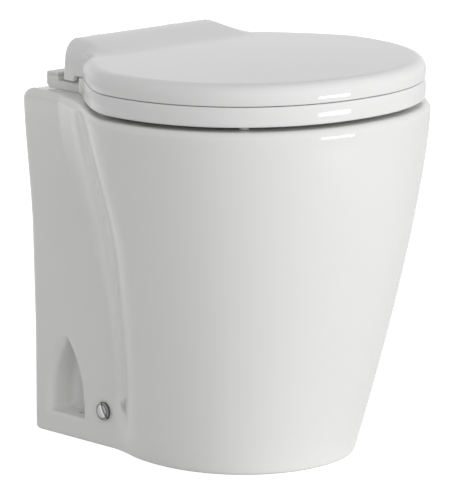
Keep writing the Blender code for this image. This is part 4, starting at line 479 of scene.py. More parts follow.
def paint_cap_reflections(material):
    """Painted reflections in the screw caps' chrome colour: a painted bright dished face, crossed by a
    painted slanted highlight streak with a dark band, inside a painted dark reflection on the turned rim.
    """
    tree = material.node_tree
    place = tree.nodes.new("ShaderNodeTexCoord").outputs["Object"]
    middle = (0.0, SEAT_Y + SCREW_BACK, SCREW_HEIGHT)
    moved = add_maths(tree, "ShaderNodeVectorMath", "SUBTRACT", place, middle)["Vector"]
    scale = (0.0, 1 / CAP_RADIUS, 1 / CAP_RADIUS)
    flat = add_maths(tree, "ShaderNodeVectorMath", "MULTIPLY", moved, scale)["Vector"]
    reach = add_maths(tree, "ShaderNodeVectorMath", "LENGTH", flat)["Value"]
    across = add_maths(tree, "ShaderNodeVectorMath", "DOT_PRODUCT", flat, CAP_PAINTED_STREAK_RUN)["Value"]
    half = add_maths(tree, "ShaderNodeMath", "ADD", across, 0.5)[0]
    both = tree.nodes.new("ShaderNodeMix")
    both.data_type = "RGBA"
    both.blend_type = "MULTIPLY"
    both.inputs["Factor"].default_value = 1.0
    for source, stops, socket in ((reach, CAP_PAINTED_REFLECTION_RINGS, "A"), (half, CAP_PAINTED_HIGHLIGHT_STREAK, "B")):
        ramp = tree.nodes.new("ShaderNodeValToRGB")
        ramp.color_ramp.interpolation = "EASE"
        while len(ramp.color_ramp.elements) < len(stops):
            ramp.color_ramp.elements.new(0.5)
        for element, (position, grey) in zip(ramp.color_ramp.elements, stops):
            element.position = position
            element.color = (grey, grey, grey, 1.0)
        tree.links.new(source, ramp.inputs["Fac"])
        tree.links.new(ramp.outputs["Color"], both.inputs[socket])
    tree.links.new(both.outputs["Result"], tree.nodes["Principled BSDF"].inputs["Base Color"])


def make_finishes():
    finishes = {name: make_finish(name, finish) for name, finish in FINISHES.items()}
    # The chrome caps get painted reflections and a painted highlight streak in their colour
    paint_cap_reflections(finishes["chrome"])
    return finishes


# Meshes


def make_object(name, bm):
    bmesh.ops.recalc_face_normals(bm, faces=bm.faces)
    mesh = bpy.data.meshes.new(name)
    bm.to_mesh(mesh)
    bm.free()
    obj = bpy.data.objects.new(name, mesh)
    bpy.context.collection.objects.link(obj)
    return obj


def settle(obj):
    """Turns what the modifiers make into the object's own mesh."""
    depsgraph = bpy.context.evaluated_depsgraph_get()
    mesh = bpy.data.meshes.new_from_object(obj.evaluated_get(depsgraph))
    obj.modifiers.clear()
    obj.data = mesh


def combine(obj, bm, operation):
    """Cuts or joins another shape, which is then gone."""
    other = make_object(f"{obj.name}_helper", bm)
    modifier = obj.modifiers.new("combine", "BOOLEAN")
    modifier.operation = operation
    modifier.solver = "EXACT"
    modifier.object = other
    settle(obj)
    bpy.data.objects.remove(other)


def weigh_normals(obj):
    """Keeps flat faces flat under smooth shading."""
    obj.modifiers.new("weighted_normals", "WEIGHTED_NORMAL").keep_sharp = True


def shade(obj):
    """Smooth shading that stays crisp at real edges."""
    obj.data.shade_smooth()
    obj.data.set_sharp_from_angle(angle=math.radians(SMOOTH_ANGLE_DEGREES))
    weigh_normals(obj)


def soften(obj, width):
    """Small rounded edges, shaded smooth."""
    bevel = obj.modifiers.new("soft_edges", "BEVEL")
    bevel.width = width
    bevel.segments = 2
    bevel.limit_method = "ANGLE"
    bevel.angle_limit = math.radians(EDGE_ANGLE_DEGREES)
    weigh_normals(obj)


def dress(piece, body, finishes, slot, *nodes):
    """Gives a piece its finish and its body, and hides the CAD nodes that it stands for."""
    piece.data.materials.clear()
    piece.data.materials.append(finishes[slot])
    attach(piece, body)
    if nodes:
        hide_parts(*nodes)


def add_rings(bm, rings, closed):
    """Skins rings that match point to point. Open ends are capped, or drawn to a ring of one point."""
    rows = [[bm.verts.new(point) for point in ring] for ring in rings]
    pairs = list(zip(rows, rows[1:]))
    if closed:
        pairs.append((rows[-1], rows[0]))
    for low, high in pairs:
        count = max(len(low), len(high))
        for i in range(count):
            j = (i + 1) % count
            if len(low) == 1:
                bm.faces.new((low[0], high[j], high[i]))
            elif len(high) == 1:
                bm.faces.new((low[i], low[j], high[0]))
            else:
                bm.faces.new((low[i], low[j], high[j], high[i]))
    if not closed:
        for row in (rows[0], rows[-1]):
            if len(row) > 2:
                bm.faces.new(row)


AXIS_TURNS = {
    "X": Matrix.Rotation(math.pi / 2, 3, "Y"),
    "Y": Matrix.Rotation(-math.pi / 2, 3, "X"),
    "Z": Matrix.Identity(3),
}


def add_turned(bm, profile, axis, centre, steps):
    """Turns a profile of (radius, distance along the axis)."""
    turn = AXIS_TURNS[axis]
    rings = []
    for radius, along in profile:
        angles = [2 * math.pi * i / steps for i in range(steps)] if radius else [0.0]
        local = [Vector((radius * math.cos(a), radius * math.sin(a), along)) for a in angles]
        rings.append([Vector(centre) + turn @ point for point in local])
    add_rings(bm, rings, closed=False)


def add_rod(bm, radius, length, axis, centre):
    add_turned(bm, [(radius, 0.0), (radius, length)], axis, centre, ROD_STEPS)


def add_box(bm, low, high):
    corners = [(low[0], low[1]), (high[0], low[1]), (high[0], high[1]), (low[0], high[1])]
    add_rings(bm, [[Vector((x, y, z)) for x, y in corners] for z in (low[2], high[2])], closed=False)


def add_prism(bm, outline, start, end):
    """Extrudes a (Y, Z) outline between two places on X."""
    add_rings(bm, [[Vector((x, y, z)) for y, z in outline] for x in (start, end)], closed=False)


def arc(centre, radius, start, end, steps):
    angles = [math.radians(start + (end - start) * i / steps) for i in range(steps + 1)]
    return [(centre[0] + radius * math.cos(a), centre[1] + radius * math.sin(a)) for a in angles]


# The outline shared by bowl, seat and lid


def ease(share):
    """A soft step from 0 to 1."""
    share = min(max(share, 0.0), 1.0)
    return share * share * (3 - 2 * share)


def soft_max(a, b, blend):
    """The greater of two values, rounded where they meet."""
    reach = max(blend - abs(a - b), 0.0)
    return max(a, b) + reach * reach / (4 * blend)


def inset(plan, distance):
    """The same outline, drawn in by a distance."""
    return plan._replace(
        half_width=plan.half_width - distance,
        front=plan.front - distance,
        rear=plan.rear - distance,
        arm=plan.arm - distance,
        back_y=plan.back_y - distance,
        corner=max(plan.corner - distance, plan.corner / 4),
        flank=plan.flank - distance * math.hypot(1.0, FLANK_SLOPE),
    )


def outline_half_width(plan, y):
    """Half the outline's width at a place between front and back."""
    reach = plan.front if y < plan.centre_y else plan.rear
    share = abs(y - plan.centre_y) / reach
    oval = plan.half_width * max(1 - share**plan.power, 0.0) ** (1 / plan.power)
    oval = -soft_max(-oval, FLANK_SLOPE * (y - plan.centre_y) - plan.flank, FLANK_BLEND)
    splay = plan.splay * min(max((plan.back_y - y) / DECK_SPLAY_RUN, 0.0), 1.0)
    return soft_max(oval, plan.arm + splay, plan.blend)


def half_outline(plan, steps):
    """(x, y) points from the front centre round one side to the back centre, closest at the crease."""
    points = []
    exponent = 2 / plan.power
    for i in range(steps.front):
        turn = math.pi / 2 * i / steps.front
        x = plan.half_width * math.sin(turn) ** exponent
        points.append((x, plan.centre_y - plan.front * math.cos(turn) ** exponent))
    meeting = math.asin(min((plan.arm + plan.splay) / plan.half_width, 1.0) ** (plan.power / 2))
    for i in range(steps.flank):
        share = 1 - (1 - i / steps.flank) ** FLANK_CROWDING
        turn = math.pi / 2 - (math.pi / 2 - meeting) * share
        y = plan.centre_y + plan.rear * math.cos(turn) ** exponent
        points.append((outline_half_width(plan, y), y))
    meeting_y = plan.centre_y + plan.rear * math.cos(meeting) ** exponent
    corner_y = plan.back_y - plan.corner
    for i in range(steps.side):
        y = meeting_y + (corner_y - meeting_y) * (i / steps.side) ** steps.side_power
        points.append((outline_half_width(plan, y), y))
    corner_x = outline_half_width(plan, corner_y) - plan.corner
    points += arc((corner_x, corner_y), plan.corner, 0, 90, steps.corner)
    points += [(corner_x * (1 - i / steps.back), plan.back_y) for i in range(1, steps.back + 1)]
    return points


def full_outline(plan, steps):
    half = half_outline(plan, steps)
    return half + [(-x, y) for x, y in half[-2:0:-1]]


def ring_at(plan, z, steps):
    return [Vector((x, y, z)) for x, y in full_outline(plan, steps)]


def bearings_of(ring, centre_y):
    """The direction of each point from a centre, 0 towards the front."""
    return [math.atan2(point.x, centre_y - point.y) for point in ring]


def oval_ring(bearings, sides, centre_y, z, power):
    """A ring with one point in each of the given directions."""
    half_width, front, rear = sides
    points = []
    for bearing in bearings:
        across, along = math.sin(bearing), math.cos(bearing)
        reach = front if along > 0 else rear
        size = (abs(across / half_width) ** power + abs(along / reach) ** power) ** (-1 / power)
        points.append(Vector((across * size, centre_y - along * size, z)))
    return points


def between(first, second, share):
    return [a.lerp(b, share) for a, b in zip(first, second)]


def quarter(steps):
    """The angles of a quarter turn in even steps, both ends included."""
    return [math.pi / 2 * i / steps for i in range(steps + 1)]


# Ceramic bowl


def back_plane(z):
    """The back, which leans in below the deck."""
    return BACK_Y - BACK_LEAN * min(max((LEAN_TOP - z) / LEAN_RUN, 0.0), 1.0)


def bowl_plan(z):
    """The bowl's outline at a height: a tapering oval in front, which runs into a square back."""
    share = min(z / TAPER_HEIGHT, 1.0)
    taper = 1 - (1 - share) ** TAPER_POWER
    flare = ease((z - TAPER_HEIGHT + SPLAY_HEIGHT) / SPLAY_HEIGHT)
    foot_reach = FOOT_FRONT + FOOT_SETBACK
    crease = CREASE_BLEND + (DECK_BLEND - CREASE_BLEND) * share**2
    foot = (FOOT_BLEND - CREASE_BLEND) * ease((CREASE_END_HEIGHT - z) / CREASE_END_RUN)
    arm = BACK_HALF_WIDTH + (DECK_HALF_WIDTH - BACK_HALF_WIDTH) * flare
    rise = max(z - CREASE_GAIN_START_HEIGHT, 0.0) / (TAPER_HEIGHT - CREASE_GAIN_START_HEIGHT)
    meeting = CREASE_BACK + CREASE_GAIN * min(rise, 1.0) ** CREASE_GAIN_POWER
    return Plan(
        half_width=FOOT_HALF_WIDTH + (RIM_HALF_WIDTH - FOOT_HALF_WIDTH) * taper,
        front=foot_reach + (RIM_FRONT - foot_reach) * taper,
        rear=foot_reach + (RIM_REAR + FLANK_REACH - foot_reach) * taper,
        centre_y=SEAT_Y + FOOT_SETBACK * (1 - taper),
        power=OVAL_POWER,
        arm=arm,
        splay=DECK_SPLAY * flare,
        back_y=back_plane(z),
        corner=BACK_CORNER,
        blend=crease + foot,
        flank=arm + DECK_SPLAY * flare + FLANK_SLOPE * (meeting - FOOT_SETBACK * (1 - taper)),
    )


def bowl_outside():
    rings = []
    for a in quarter(4)[:-1]:
        z = FOOT_EDGE * (1 - math.cos(a))
        rings.append(ring_at(inset(bowl_plan(z), FOOT_EDGE * (1 - math.sin(a))), z, BOWL_STEPS))
    heights = [FOOT_EDGE + (SHOULDER_Z - FOOT_EDGE) * i / BOWL_LEVELS for i in range(BOWL_LEVELS + 1)]
    rings += [ring_at(bowl_plan(z), z, BOWL_STEPS) for z in heights]
    top = bowl_plan(TAPER_HEIGHT)
    for a in quarter(8)[1:]:
        plan = inset(top, SHOULDER * (1 - math.cos(a)))
        rings.append(ring_at(plan, SHOULDER_Z + SHOULDER * math.sin(a), BOWL_STEPS))
    return [[softened(point) for point in ring] for ring in rings]


def softened(point):
    """The deck's rear edge is rounder than its sides: it sinks towards the back plane."""
    near = ease((point.y - BACK_Y + REAR_SHOULDER_RUN) / REAR_SHOULDER_RUN)
    high = ease((point.z - SHOULDER_Z + REAR_SHOULDER_RUN) / REAR_SHOULDER_RUN)
    return point - Vector((0.0, 0.0, REAR_SHOULDER * near**2 * high))


def basin_profile():
    """(share of width, share of drop) from the straight wall to the sump, smooth through BASIN_SHARES."""
    ends = [BASIN_BEFORE, *BASIN_SHARES, BASIN_AFTER]
    profile = []
    for before, start, end, after in zip(ends, ends[1:], ends[2:], ends[3:]):
        for i in range(BASIN_STEPS):
            t = i / BASIN_STEPS
            point = [
                0.5 * (2 * s + (e - b) * t + (2 * b - 5 * s + 4 * e - f) * t * t
                       + (3 * s - b - 3 * e + f) * t**3)
                for b, s, e, f in zip(before, start, end, after)
            ]
            profile.append((min(point[0], 1.0), point[1]))
    return profile


def basin_ring(bearings, share, drop, extra=0.0):
    z = BASIN_STRAIGHT_HEIGHT + (SUMP_HEIGHT - BASIN_STRAIGHT_HEIGHT) * drop
    sides = [OUTLET_RADIUS + (side - OUTLET_RADIUS) * share + extra
             for side in (BASIN_HALF_WIDTH, BASIN_FRONT, BASIN_REAR)]
    centre_y = OUTLET_Y + (SEAT_Y - OUTLET_Y) * share
    return oval_ring(bearings, sides, centre_y, z - extra * (1 - share), 2 + (OVAL_POWER - 2) * share)


def bowl_inside(rim):
    """From the deck over the basin's lip, down to the spigot and back up its underside."""
    bearings = bearings_of(rim, SEAT_Y)
    sides = (BASIN_HALF_WIDTH, BASIN_FRONT, BASIN_REAR)
    lip = []
    for a in quarter(6):
        out, down = BASIN_LIP * (1 - math.sin(a)), BASIN_LIP * (1 - math.cos(a))
        lip.append(oval_ring(bearings, [side + out for side in sides], SEAT_Y, RIM_HEIGHT - down, OVAL_POWER))
    rings = [between(rim, lip[0], share) for share in DECK_SHARES] + lip
    rings += [basin_ring(bearings, share, drop) for share, drop in basin_profile()]
    bore, pipe = [OUTLET_RADIUS] * 3, [OUTLET_RADIUS + SPIGOT_WALL] * 3
    rings.append(oval_ring(bearings, bore, OUTLET_Y, SUMP_HEIGHT, 2))
    rings.append(oval_ring(bearings, bore, OUTLET_Y, SPIGOT_END_HEIGHT, 2))
    rings.append(oval_ring(bearings, pipe, OUTLET_Y, SPIGOT_END_HEIGHT, 2))
    rings.append(oval_ring(bearings, pipe, OUTLET_Y, SUMP_HEIGHT - CERAMIC_WALL, 2))
    rings += [basin_ring(bearings, share, drop, CERAMIC_WALL) for share, drop in BASIN_SHARES[-2:0:-1]]
    grown = [side + CERAMIC_WALL for side in sides]
    rings.append(oval_ring(bearings, grown, SEAT_Y, BASIN_STRAIGHT_HEIGHT, OVAL_POWER))
    rings.append(oval_ring(bearings, grown, SEAT_Y, CAVITY_TOP_Z, OVAL_POWER))
    return rings


def bowl_cavity():
    """From the underside of the deck down to the open foot."""
    heights = [CAVITY_TOP_Z * (1 - i / CAVITY_LEVELS) for i in range(CAVITY_LEVELS + 1)]
    return [ring_at(inset(bowl_plan(z), CERAMIC_WALL), z, BOWL_STEPS) for z in heights]


def niche_arch(shrink):
    """(y, z) points of the pointed niche, from its front foot over its tip to its rear foot."""
    centre, low = SEAT_Y + NICHE_CENTRE_BACK, NICHE_FLOOR_HEIGHT + shrink
    half, height = NICHE_HALF_LENGTH - shrink, NICHE_HEIGHT - NICHE_TIP_SHRINK * shrink
    flank = []
    for turn in quarter(NICHE_STEPS):
        share = math.sin(turn)
        flank.append((half * (1 - share**NICHE_POWER), low + height * share))
    return [(centre - y, z) for y, z in flank] + [(centre + y, z) for y, z in flank[-2::-1]]


def niche_outline(shrink=0.0):
    """The niche's outline with evenly spaced points and its corners rounded."""
    loop = [Vector(point) for point in niche_arch(shrink)]
    lengths = [(loop[(i + 1) % len(loop)] - loop[i]).length for i in range(len(loop))]
    pitch = sum(lengths) / NICHE_POINTS
    even, along, i = [], 0.0, 0
    for step in range(NICHE_POINTS):
        target = step * pitch
        while along + lengths[i] < target:
            along += lengths[i]
            i += 1
        share = (target - along) / lengths[i]
        even.append(loop[i].lerp(loop[(i + 1) % len(loop)], share))
    for _ in range(NICHE_ROUNDING):
        ends = zip(even[-1:] + even, even, even[1:] + even[:1])
        even = [(before + point * 2 + after) / 4 for before, point, after in ends]
    return even


def outward(loop):
    """Unit normals of a closed outline, pointing out of it."""
    middle = sum(loop, Vector((0.0, 0.0))) / len(loop)
    normals = []
    for i, point in enumerate(loop):
        run = loop[(i + 1) % len(loop)] - loop[i - 1]
        normal = Vector((run.y, -run.x)).normalized()
        normals.append(normal if normal.dot(point - middle) > 0 else -normal)
    return normals


def niche_lip(normal):
    """The radius of the niche's mouth: sharp in front, soft behind."""
    along, up = normal
    sides = NICHE_LIPS["rear"] if along > 0 else NICHE_LIPS["front"]
    ends = NICHE_LIPS["top"] if up > 0 else NICHE_LIPS["floor"]
    return sides * along * along + ends * up * up


def add_niche(bm, side):
    """A flared plug, whose cut leaves rounded edges at the mouth and at the inner wall."""
    outline, wall = niche_outline(), BACK_HALF_WIDTH
    normals = outward(outline)
    rings = [[Vector((side * (wall + OVERRUN), *(p + n * niche_lip(n)))) for p, n in zip(outline, normals)]]
    for a in quarter(9):
        ring = []
        for point, normal in zip(outline, normals):
            radius = niche_lip(normal)
            flat = point + normal * radius * (1 - math.sin(a))
            ring.append(Vector((side * (wall - radius * (1 - math.cos(a)) + TOUCH), *flat)))
        rings.append(ring)
    inner = wall - NICHE_DEPTH
    for a in quarter(7):
        shrunk = niche_outline(NICHE_CORNER * (1 - math.cos(a)))
        x = inner + NICHE_CORNER * (1 - math.sin(a))
        rings.append([Vector((side * x, *point)) for point in shrunk])
    middle = sum(rings[-1], Vector()) / NICHE_POINTS
    rings += [between(rings[-1], [middle] * NICHE_POINTS, 0.5), [middle]]
    add_rings(bm, rings, closed=False)


def add_access(bm):
    """The arched opening in the back wall, flared at its outer edge."""
    spring = ACCESS_HEIGHT - ACCESS_HALF_WIDTH
    outline = [(ACCESS_HALF_WIDTH, -OVERRUN), (ACCESS_HALF_WIDTH, spring / 2)]
    outline += arc((0.0, spring), ACCESS_HALF_WIDTH, 0, 180, ACCESS_STEPS)
    outline += [(-ACCESS_HALF_WIDTH, spring / 2), (-ACCESS_HALF_WIDTH, -OVERRUN)]
    loop = [Vector(point) for point in outline]
    normals = [Vector((math.copysign(1.0, p.x), 0.0)) if p.y < spring
               else (p - Vector((0.0, spring))).normalized()
               for p in loop]
    rings = [[Vector((p.x + n.x * ACCESS_LIP, BACK_Y + OVERRUN, p.y + n.y * ACCESS_LIP))
              for p, n in zip(loop, normals)]]
    for a in quarter(5):
        out, inward = ACCESS_LIP * (1 - math.sin(a)), ACCESS_LIP * (1 - math.cos(a)) - TOUCH
        rings.append([Vector((p.x + n.x * out, back_plane(p.y) - inward, p.y + n.y * out))
                      for p, n in zip(loop, normals)])
    rings.append([Vector((p.x, back_plane(0.0) - CERAMIC_WALL - OVERRUN, p.y)) for p in loop])
    add_rings(bm, rings, closed=False)


def add_pocket_walls(bm):
    """The ceramic that the niches are cut into."""
    centre = SEAT_Y + NICHE_CENTRE_BACK
    reach = NICHE_HALF_LENGTH + CERAMIC_WALL
    inner = BACK_HALF_WIDTH - NICHE_DEPTH - CERAMIC_WALL
    outer = BACK_HALF_WIDTH - CERAMIC_WALL / 2
    back = min(centre + reach, back_plane(0.0) - CERAMIC_WALL / 2)
    top = NICHE_FLOOR_HEIGHT + NICHE_HEIGHT + CERAMIC_WALL
    for side in (-1, 1):
        low_x, high_x = sorted((side * inner, side * outer))
        add_box(bm, (low_x, centre - reach, 0.0), (high_x, back, top))


def add_small_holes(bm):
    for side in (-1, 1):
        floor = (side * FLOOR_HOLE_SIDE, SEAT_Y + FLOOR_HOLE_BACK, -OVERRUN)
        add_rod(bm, FLOOR_HOLE_RADIUS, NICHE_FLOOR_HEIGHT + 2 * OVERRUN, "Z", floor)
        bolt = (side * BOLT_SIDE, SEAT_Y + BOLT_BACK, CAVITY_TOP_Z - OVERRUN)
        add_rod(bm, BOLT_HOLE_RADIUS, DECK_THICKNESS + 2 * OVERRUN, "Z", bolt)
        start = BACK_HALF_WIDTH - CERAMIC_WALL - OVERRUN
        reach = CERAMIC_WALL + 2 * OVERRUN
        screw = (min(side * start, side * (start + reach)), SEAT_Y + SCREW_BACK, SCREW_HEIGHT)
        add_rod(bm, SCREW_HOLE_RADIUS, reach, "X", screw)
    nozzle = (0.0, SEAT_Y + BASIN_REAR - OVERRUN, NOZZLE_HEIGHT)
    add_rod(bm, NOZZLE_HOLE_RADIUS, CERAMIC_WALL + 2 * OVERRUN, "Y", nozzle)


def make_bowl(finishes):
    outside = bowl_outside()
    bm = bmesh.new()
    add_rings(bm, outside + bowl_inside(outside[-1]) + bowl_cavity(), closed=True)
    bowl = make_object("bowl", bm)
    walls = bmesh.new()
    add_pocket_walls(walls)
    combine(bowl, walls, "UNION")
    openings = bmesh.new()
    add_niche(openings, -1)
    add_niche(openings, 1)
    add_access(openings)
    combine(bowl, openings, "DIFFERENCE")
    holes = bmesh.new()
    add_small_holes(holes)
    combine(bowl, holes, "DIFFERENCE")
    dress(bowl, "root", finishes, "glazed_ceramic", "ceramic_bowl")
    shade(bowl)


# Seat


def dip(y):
    return DIP * ease((y - SEAT_Y - DIP_START_BACK) / DIP_RUN)


def heel(y):
    return HEEL_DROP * ease((y - SEAT_Y - HEEL_START_BACK) / DIP_RUN)


def lowered(point):
    """The seat's upper line dips towards the hinge, and its underside comes down to the deck."""
    share = min(max((point.z - SEAT_Z) / SEAT_THICKNESS, 0.0), 1.0)
    return point - Vector((0.0, 0.0, dip(point.y) * share + heel(point.y) * (1 - share)))


def seat_plan():
    return Plan(
        half_width=SEAT_HALF_WIDTH,
        front=SEAT_FRONT,
        rear=SEAT_REAR,
        centre_y=SEAT_Y,
        power=SEAT_POWER,
        arm=ARM_HALF_WIDTH,
        splay=0.0,
        back_y=SEAT_Y + ARM_END_BACK,
        corner=ARM_END_RADIUS,
        blend=ARM_BLEND,
        flank=FLANK_HALF_WIDTH,
    )


def bulge(height):
    """How far the seat's side lies in from its widest line, at a height above its underside."""
    return (height - SEAT_WIDEST) ** 2 / (2 * SEAT_BULGE_RADIUS)


def seat_side():
    """(depth in from the outline, height above the underside), from below round to the top."""
    low, high = SEAT_FOOT_EDGE, SEAT_THICKNESS - SEAT_TOP_EDGE
    profile = [(bulge(low) + low * (1 - math.sin(a)), low * (1 - math.cos(a))) for a in quarter(5)]
    heights = [low + (high - low) * i / SEAT_SIDE_STEPS for i in range(1, SEAT_SIDE_STEPS + 1)]
    profile += [(bulge(height), height) for height in heights]
    edge = SEAT_TOP_EDGE
    profile += [(bulge(high) + edge * (1 - math.cos(a)), high + edge * math.sin(a)) for a in quarter(4)[1:]]
    return profile


def seat_rings():
    plan = seat_plan()
    side = [(depth, SEAT_Z + height) for depth, height in seat_side()]
    rings = [[lowered(p) for p in ring_at(inset(plan, depth), z, RIM_STEPS)] for depth, z in side]
    flat = ring_at(inset(plan, side[-1][0]), SEAT_TOP_Z, RIM_STEPS)
    bearings = bearings_of(flat, SEAT_Y)
    edge = SEAT_OPENING_EDGE
    inner = []
    for a in quarter(8):
        sides = [reach + edge * (1 - math.sin(a)) for reach in SEAT_OPENING]
        inner.append(oval_ring(bearings, sides, SEAT_Y, SEAT_TOP_Z - edge * (1 - math.cos(a)), OVAL_POWER))
    for a in quarter(4):
        out = SEAT_TOP_EDGE * (1 - math.cos(a))
        z = SEAT_Z + SEAT_TOP_EDGE * (1 - math.sin(a))
        inner.append(oval_ring(bearings, [reach + out for reach in SEAT_OPENING], SEAT_Y, z, OVAL_POWER))
    top = [between(flat, inner[0], share) for share in SEAT_TOP_SHARES]
    rings += [[lowered(p) for p in ring] for ring in top]
    return rings + inner


def arm_outline():
    front = SEAT_Y + SEAT_BRIDGE_BACK - ARM_END_RADIUS
    low = SEAT_Z + SEAT_FOOT_EDGE
    points = [(front, low), (SEAT_Y + ARM_END_BACK - ARM_END_RADIUS, low)]
    points += arc((HINGE_Y, HINGE_HEIGHT), HINGE_BOSS_RADIUS, -60, 120, BOSS_STEPS)
    return [*points, (front, SEAT_TOP_Z - OVERRUN)]


def make_seat(finishes):
    bm = bmesh.new()
    add_rings(bm, seat_rings(), closed=True)
    seat = make_object("seat", bm)
    notch = bmesh.new()
    low = (-ARM_PIN_SIDE, SEAT_Y + SEAT_BRIDGE_BACK, SEAT_Z - OVERRUN)
    add_box(notch, low, (ARM_PIN_SIDE, SEAT_Y + ARM_END_BACK + OVERRUN, SEAT_TOP_Z + OVERRUN))
    combine(seat, notch, "DIFFERENCE")
    arms, holes = bmesh.new(), bmesh.new()
    for side in (-1, 1):
        add_prism(arms, arm_outline(), side * ARM_PIN_SIDE, side * (ARM_PIN_SIDE + ARM_THICKNESS))
        start = min(side * ARM_PIN_SIDE, side * (ARM_PIN_SIDE + ARM_THICKNESS)) - OVERRUN
        add_rod(holes, PIN_HOLE_RADIUS, ARM_THICKNESS + 2 * OVERRUN, "X", (start, HINGE_Y, HINGE_HEIGHT))
    combine(seat, arms, "UNION")
    combine(seat, holes, "DIFFERENCE")
    dress(seat, "seat", finishes, "seat_plastic", "seat_ring")
    shade(seat)


# Lid


def lid_plan():
    """The seat's outline with a longer back."""
    return seat_plan()._replace(arm=LID_ARM_HALF_WIDTH, back_y=SEAT_Y + LID_BACK, corner=LID_BACK_CORNER)


def lid_top(x, y):
    """The lid's height: level in front, raised over the hinge and falling off towards its sides."""
    fall = 1 - ease((abs(x) - HUMP_HALF_WIDTH) / HUMP_SIDE_RUN)
    return LID_TOP_Z + HUMP_RISE * fall * ease((y - SEAT_Y - HUMP_START_BACK) / HUMP_RUN)


def lid_low(y):
    """The lid's lower edge: level in front, dipping with the seat, then down at the ears."""
    back = y - SEAT_Y
    return LID_Z - dip(y) - EAR_DROP * ease((back - EAR_START_BACK) / EAR_STEP)


def lid_edge(rise):
    """The rounding of the lid's edge: depth in from the outline at a rise above the widest line."""
    share = min(max(rise / LID_EDGE_HEIGHT, 0.0), 1.0)
    return LID_EDGE_DEPTH * (1 - (1 - share**LID_EDGE_POWER) ** (1 / LID_EDGE_POWER))


def leaned(point):
    """The lid's rear wall leans forward with its height."""
    near = ease((point.y - SEAT_Y - LID_BACK + LID_REAR_RUN) / LID_REAR_RUN)
    rise = max(point.z - LID_Z + EAR_DROP + DIP, 0.0) / (LID_HEIGHT + HUMP_RISE)
    return point - Vector((0.0, LID_REAR_LEAN * near * rise, 0.0))


def lid_ring(depth, drop):
    points = full_outline(inset(lid_plan(), depth), RIM_STEPS)
    return [leaned(Vector((x, y, lid_top(x, y) - drop))) for x, y in points]


def lid_wall_ring(depth, share, lift=0.0):
    """A ring of the side wall, at a share of the way from the lower edge to the edge's rounding."""
    ring = []
    for x, y in full_outline(inset(lid_plan(), depth), RIM_STEPS):
        low, high = lid_low(y) + lift, lid_top(x, y) - LID_EDGE_HEIGHT
        ring.append(leaned(Vector((x, y, low + (high - low) * share))))
    return ring


def top_ring(crest, share, lift):
    """A ring of the lid's top, drawn in towards its middle."""
    ring = []
    for point in crest:
        x, y = point.x * share, SEAT_Y + (point.y - SEAT_Y) * share
        ring.append(Vector((x, y, lid_top(x, y) + lift)))
    return ring


def lid_rings():
    edge = LID_FOOT_EDGE
    rings = []
    for a in quarter(4):
        depth, lift = LID_TUCK + edge * (1 - math.sin(a)), edge * (1 - math.cos(a))
        rings.append(lid_wall_ring(depth, 0.0, lift))
    rings += [lid_wall_ring(LID_TUCK * (1 - share) ** 2, share, edge) for share in LID_WALL_SHARES]
    for turn in quarter(LID_EDGE_STEPS)[1:]:
        rise = LID_EDGE_HEIGHT * math.sin(turn)
        rings.append(lid_ring(lid_edge(rise), LID_EDGE_HEIGHT - rise))
    crest = rings[-1]
    rings += [top_ring(crest, share, CROWN * (1 - share**2)) for share in LID_TOP_SHARES]
    rings.append([Vector((0.0, SEAT_Y, LID_TOP_Z + CROWN))])
    return rings


def lid_inner_rings():
    crest = lid_ring(LID_EDGE_DEPTH, LID_WALL)
    rings = [lid_wall_ring(LID_WALL, share) for share in (0.0, 0.5, 1.0)]
    rings += [lid_ring(LID_WALL + LID_INNER_EDGE, LID_INNER_EDGE_DROP), crest]
    for share in LID_INNER_SHARES:
        ring = top_ring(crest, share, CROWN * (1 - share**2))
        rings.append([point - Vector((0.0, 0.0, LID_WALL)) for point in ring])
    rings.append([Vector((0.0, SEAT_Y, LID_TOP_Z + CROWN - LID_WALL))])
    return rings


def lug_outline():
    roof = LID_TOP_Z + HUMP_RISE - LID_WALL / 2
    points = arc((HINGE_Y, HINGE_HEIGHT), HINGE_BOSS_RADIUS, -180, 0, BOSS_STEPS)
    return [*points, (HINGE_Y + HINGE_BOSS_RADIUS, roof), (HINGE_Y - HINGE_BOSS_RADIUS, roof)]


def make_lid(finishes):
    bm = bmesh.new()
    add_rings(bm, lid_rings()[::-1] + lid_inner_rings(), closed=False)
    lid = make_object("lid_shell", bm)
    lugs, cuts = bmesh.new(), bmesh.new()
    back = SEAT_Y + LID_BACK
    reach = ARM_PIN_SIDE + ARM_THICKNESS + SLOT_SIDE_GAP
    roof = HINGE_HEIGHT + HINGE_BOSS_RADIUS + SLOT_TOP_GAP
    for side in (-1, 1):
        add_prism(lugs, lug_outline(), side * LID_LUG_SIDE, side * (LID_LUG_SIDE + LUG_THICKNESS))
        low_x, high_x = sorted((side * (LUG_SIDE - SLOT_SIDE_GAP), side * reach))
        low = (low_x, back - LID_WALL - SLOT_TOP_GAP, HINGE_HEIGHT - 2 * LID_HEIGHT)
        add_box(cuts, low, (high_x, back + OVERRUN, roof))
        start = min(side * LID_LUG_SIDE, side * (LID_LUG_SIDE + LUG_THICKNESS)) - TOUCH
        add_rod(cuts, PIN_HOLE_RADIUS, LUG_THICKNESS + 2 * TOUCH, "X", (start, HINGE_Y, HINGE_HEIGHT))
    combine(lid, lugs, "UNION")
    combine(lid, cuts, "DIFFERENCE")
    dress(lid, "lid", finishes, "seat_plastic", "lid")
    shade(lid)


# Chrome caps over the side screws


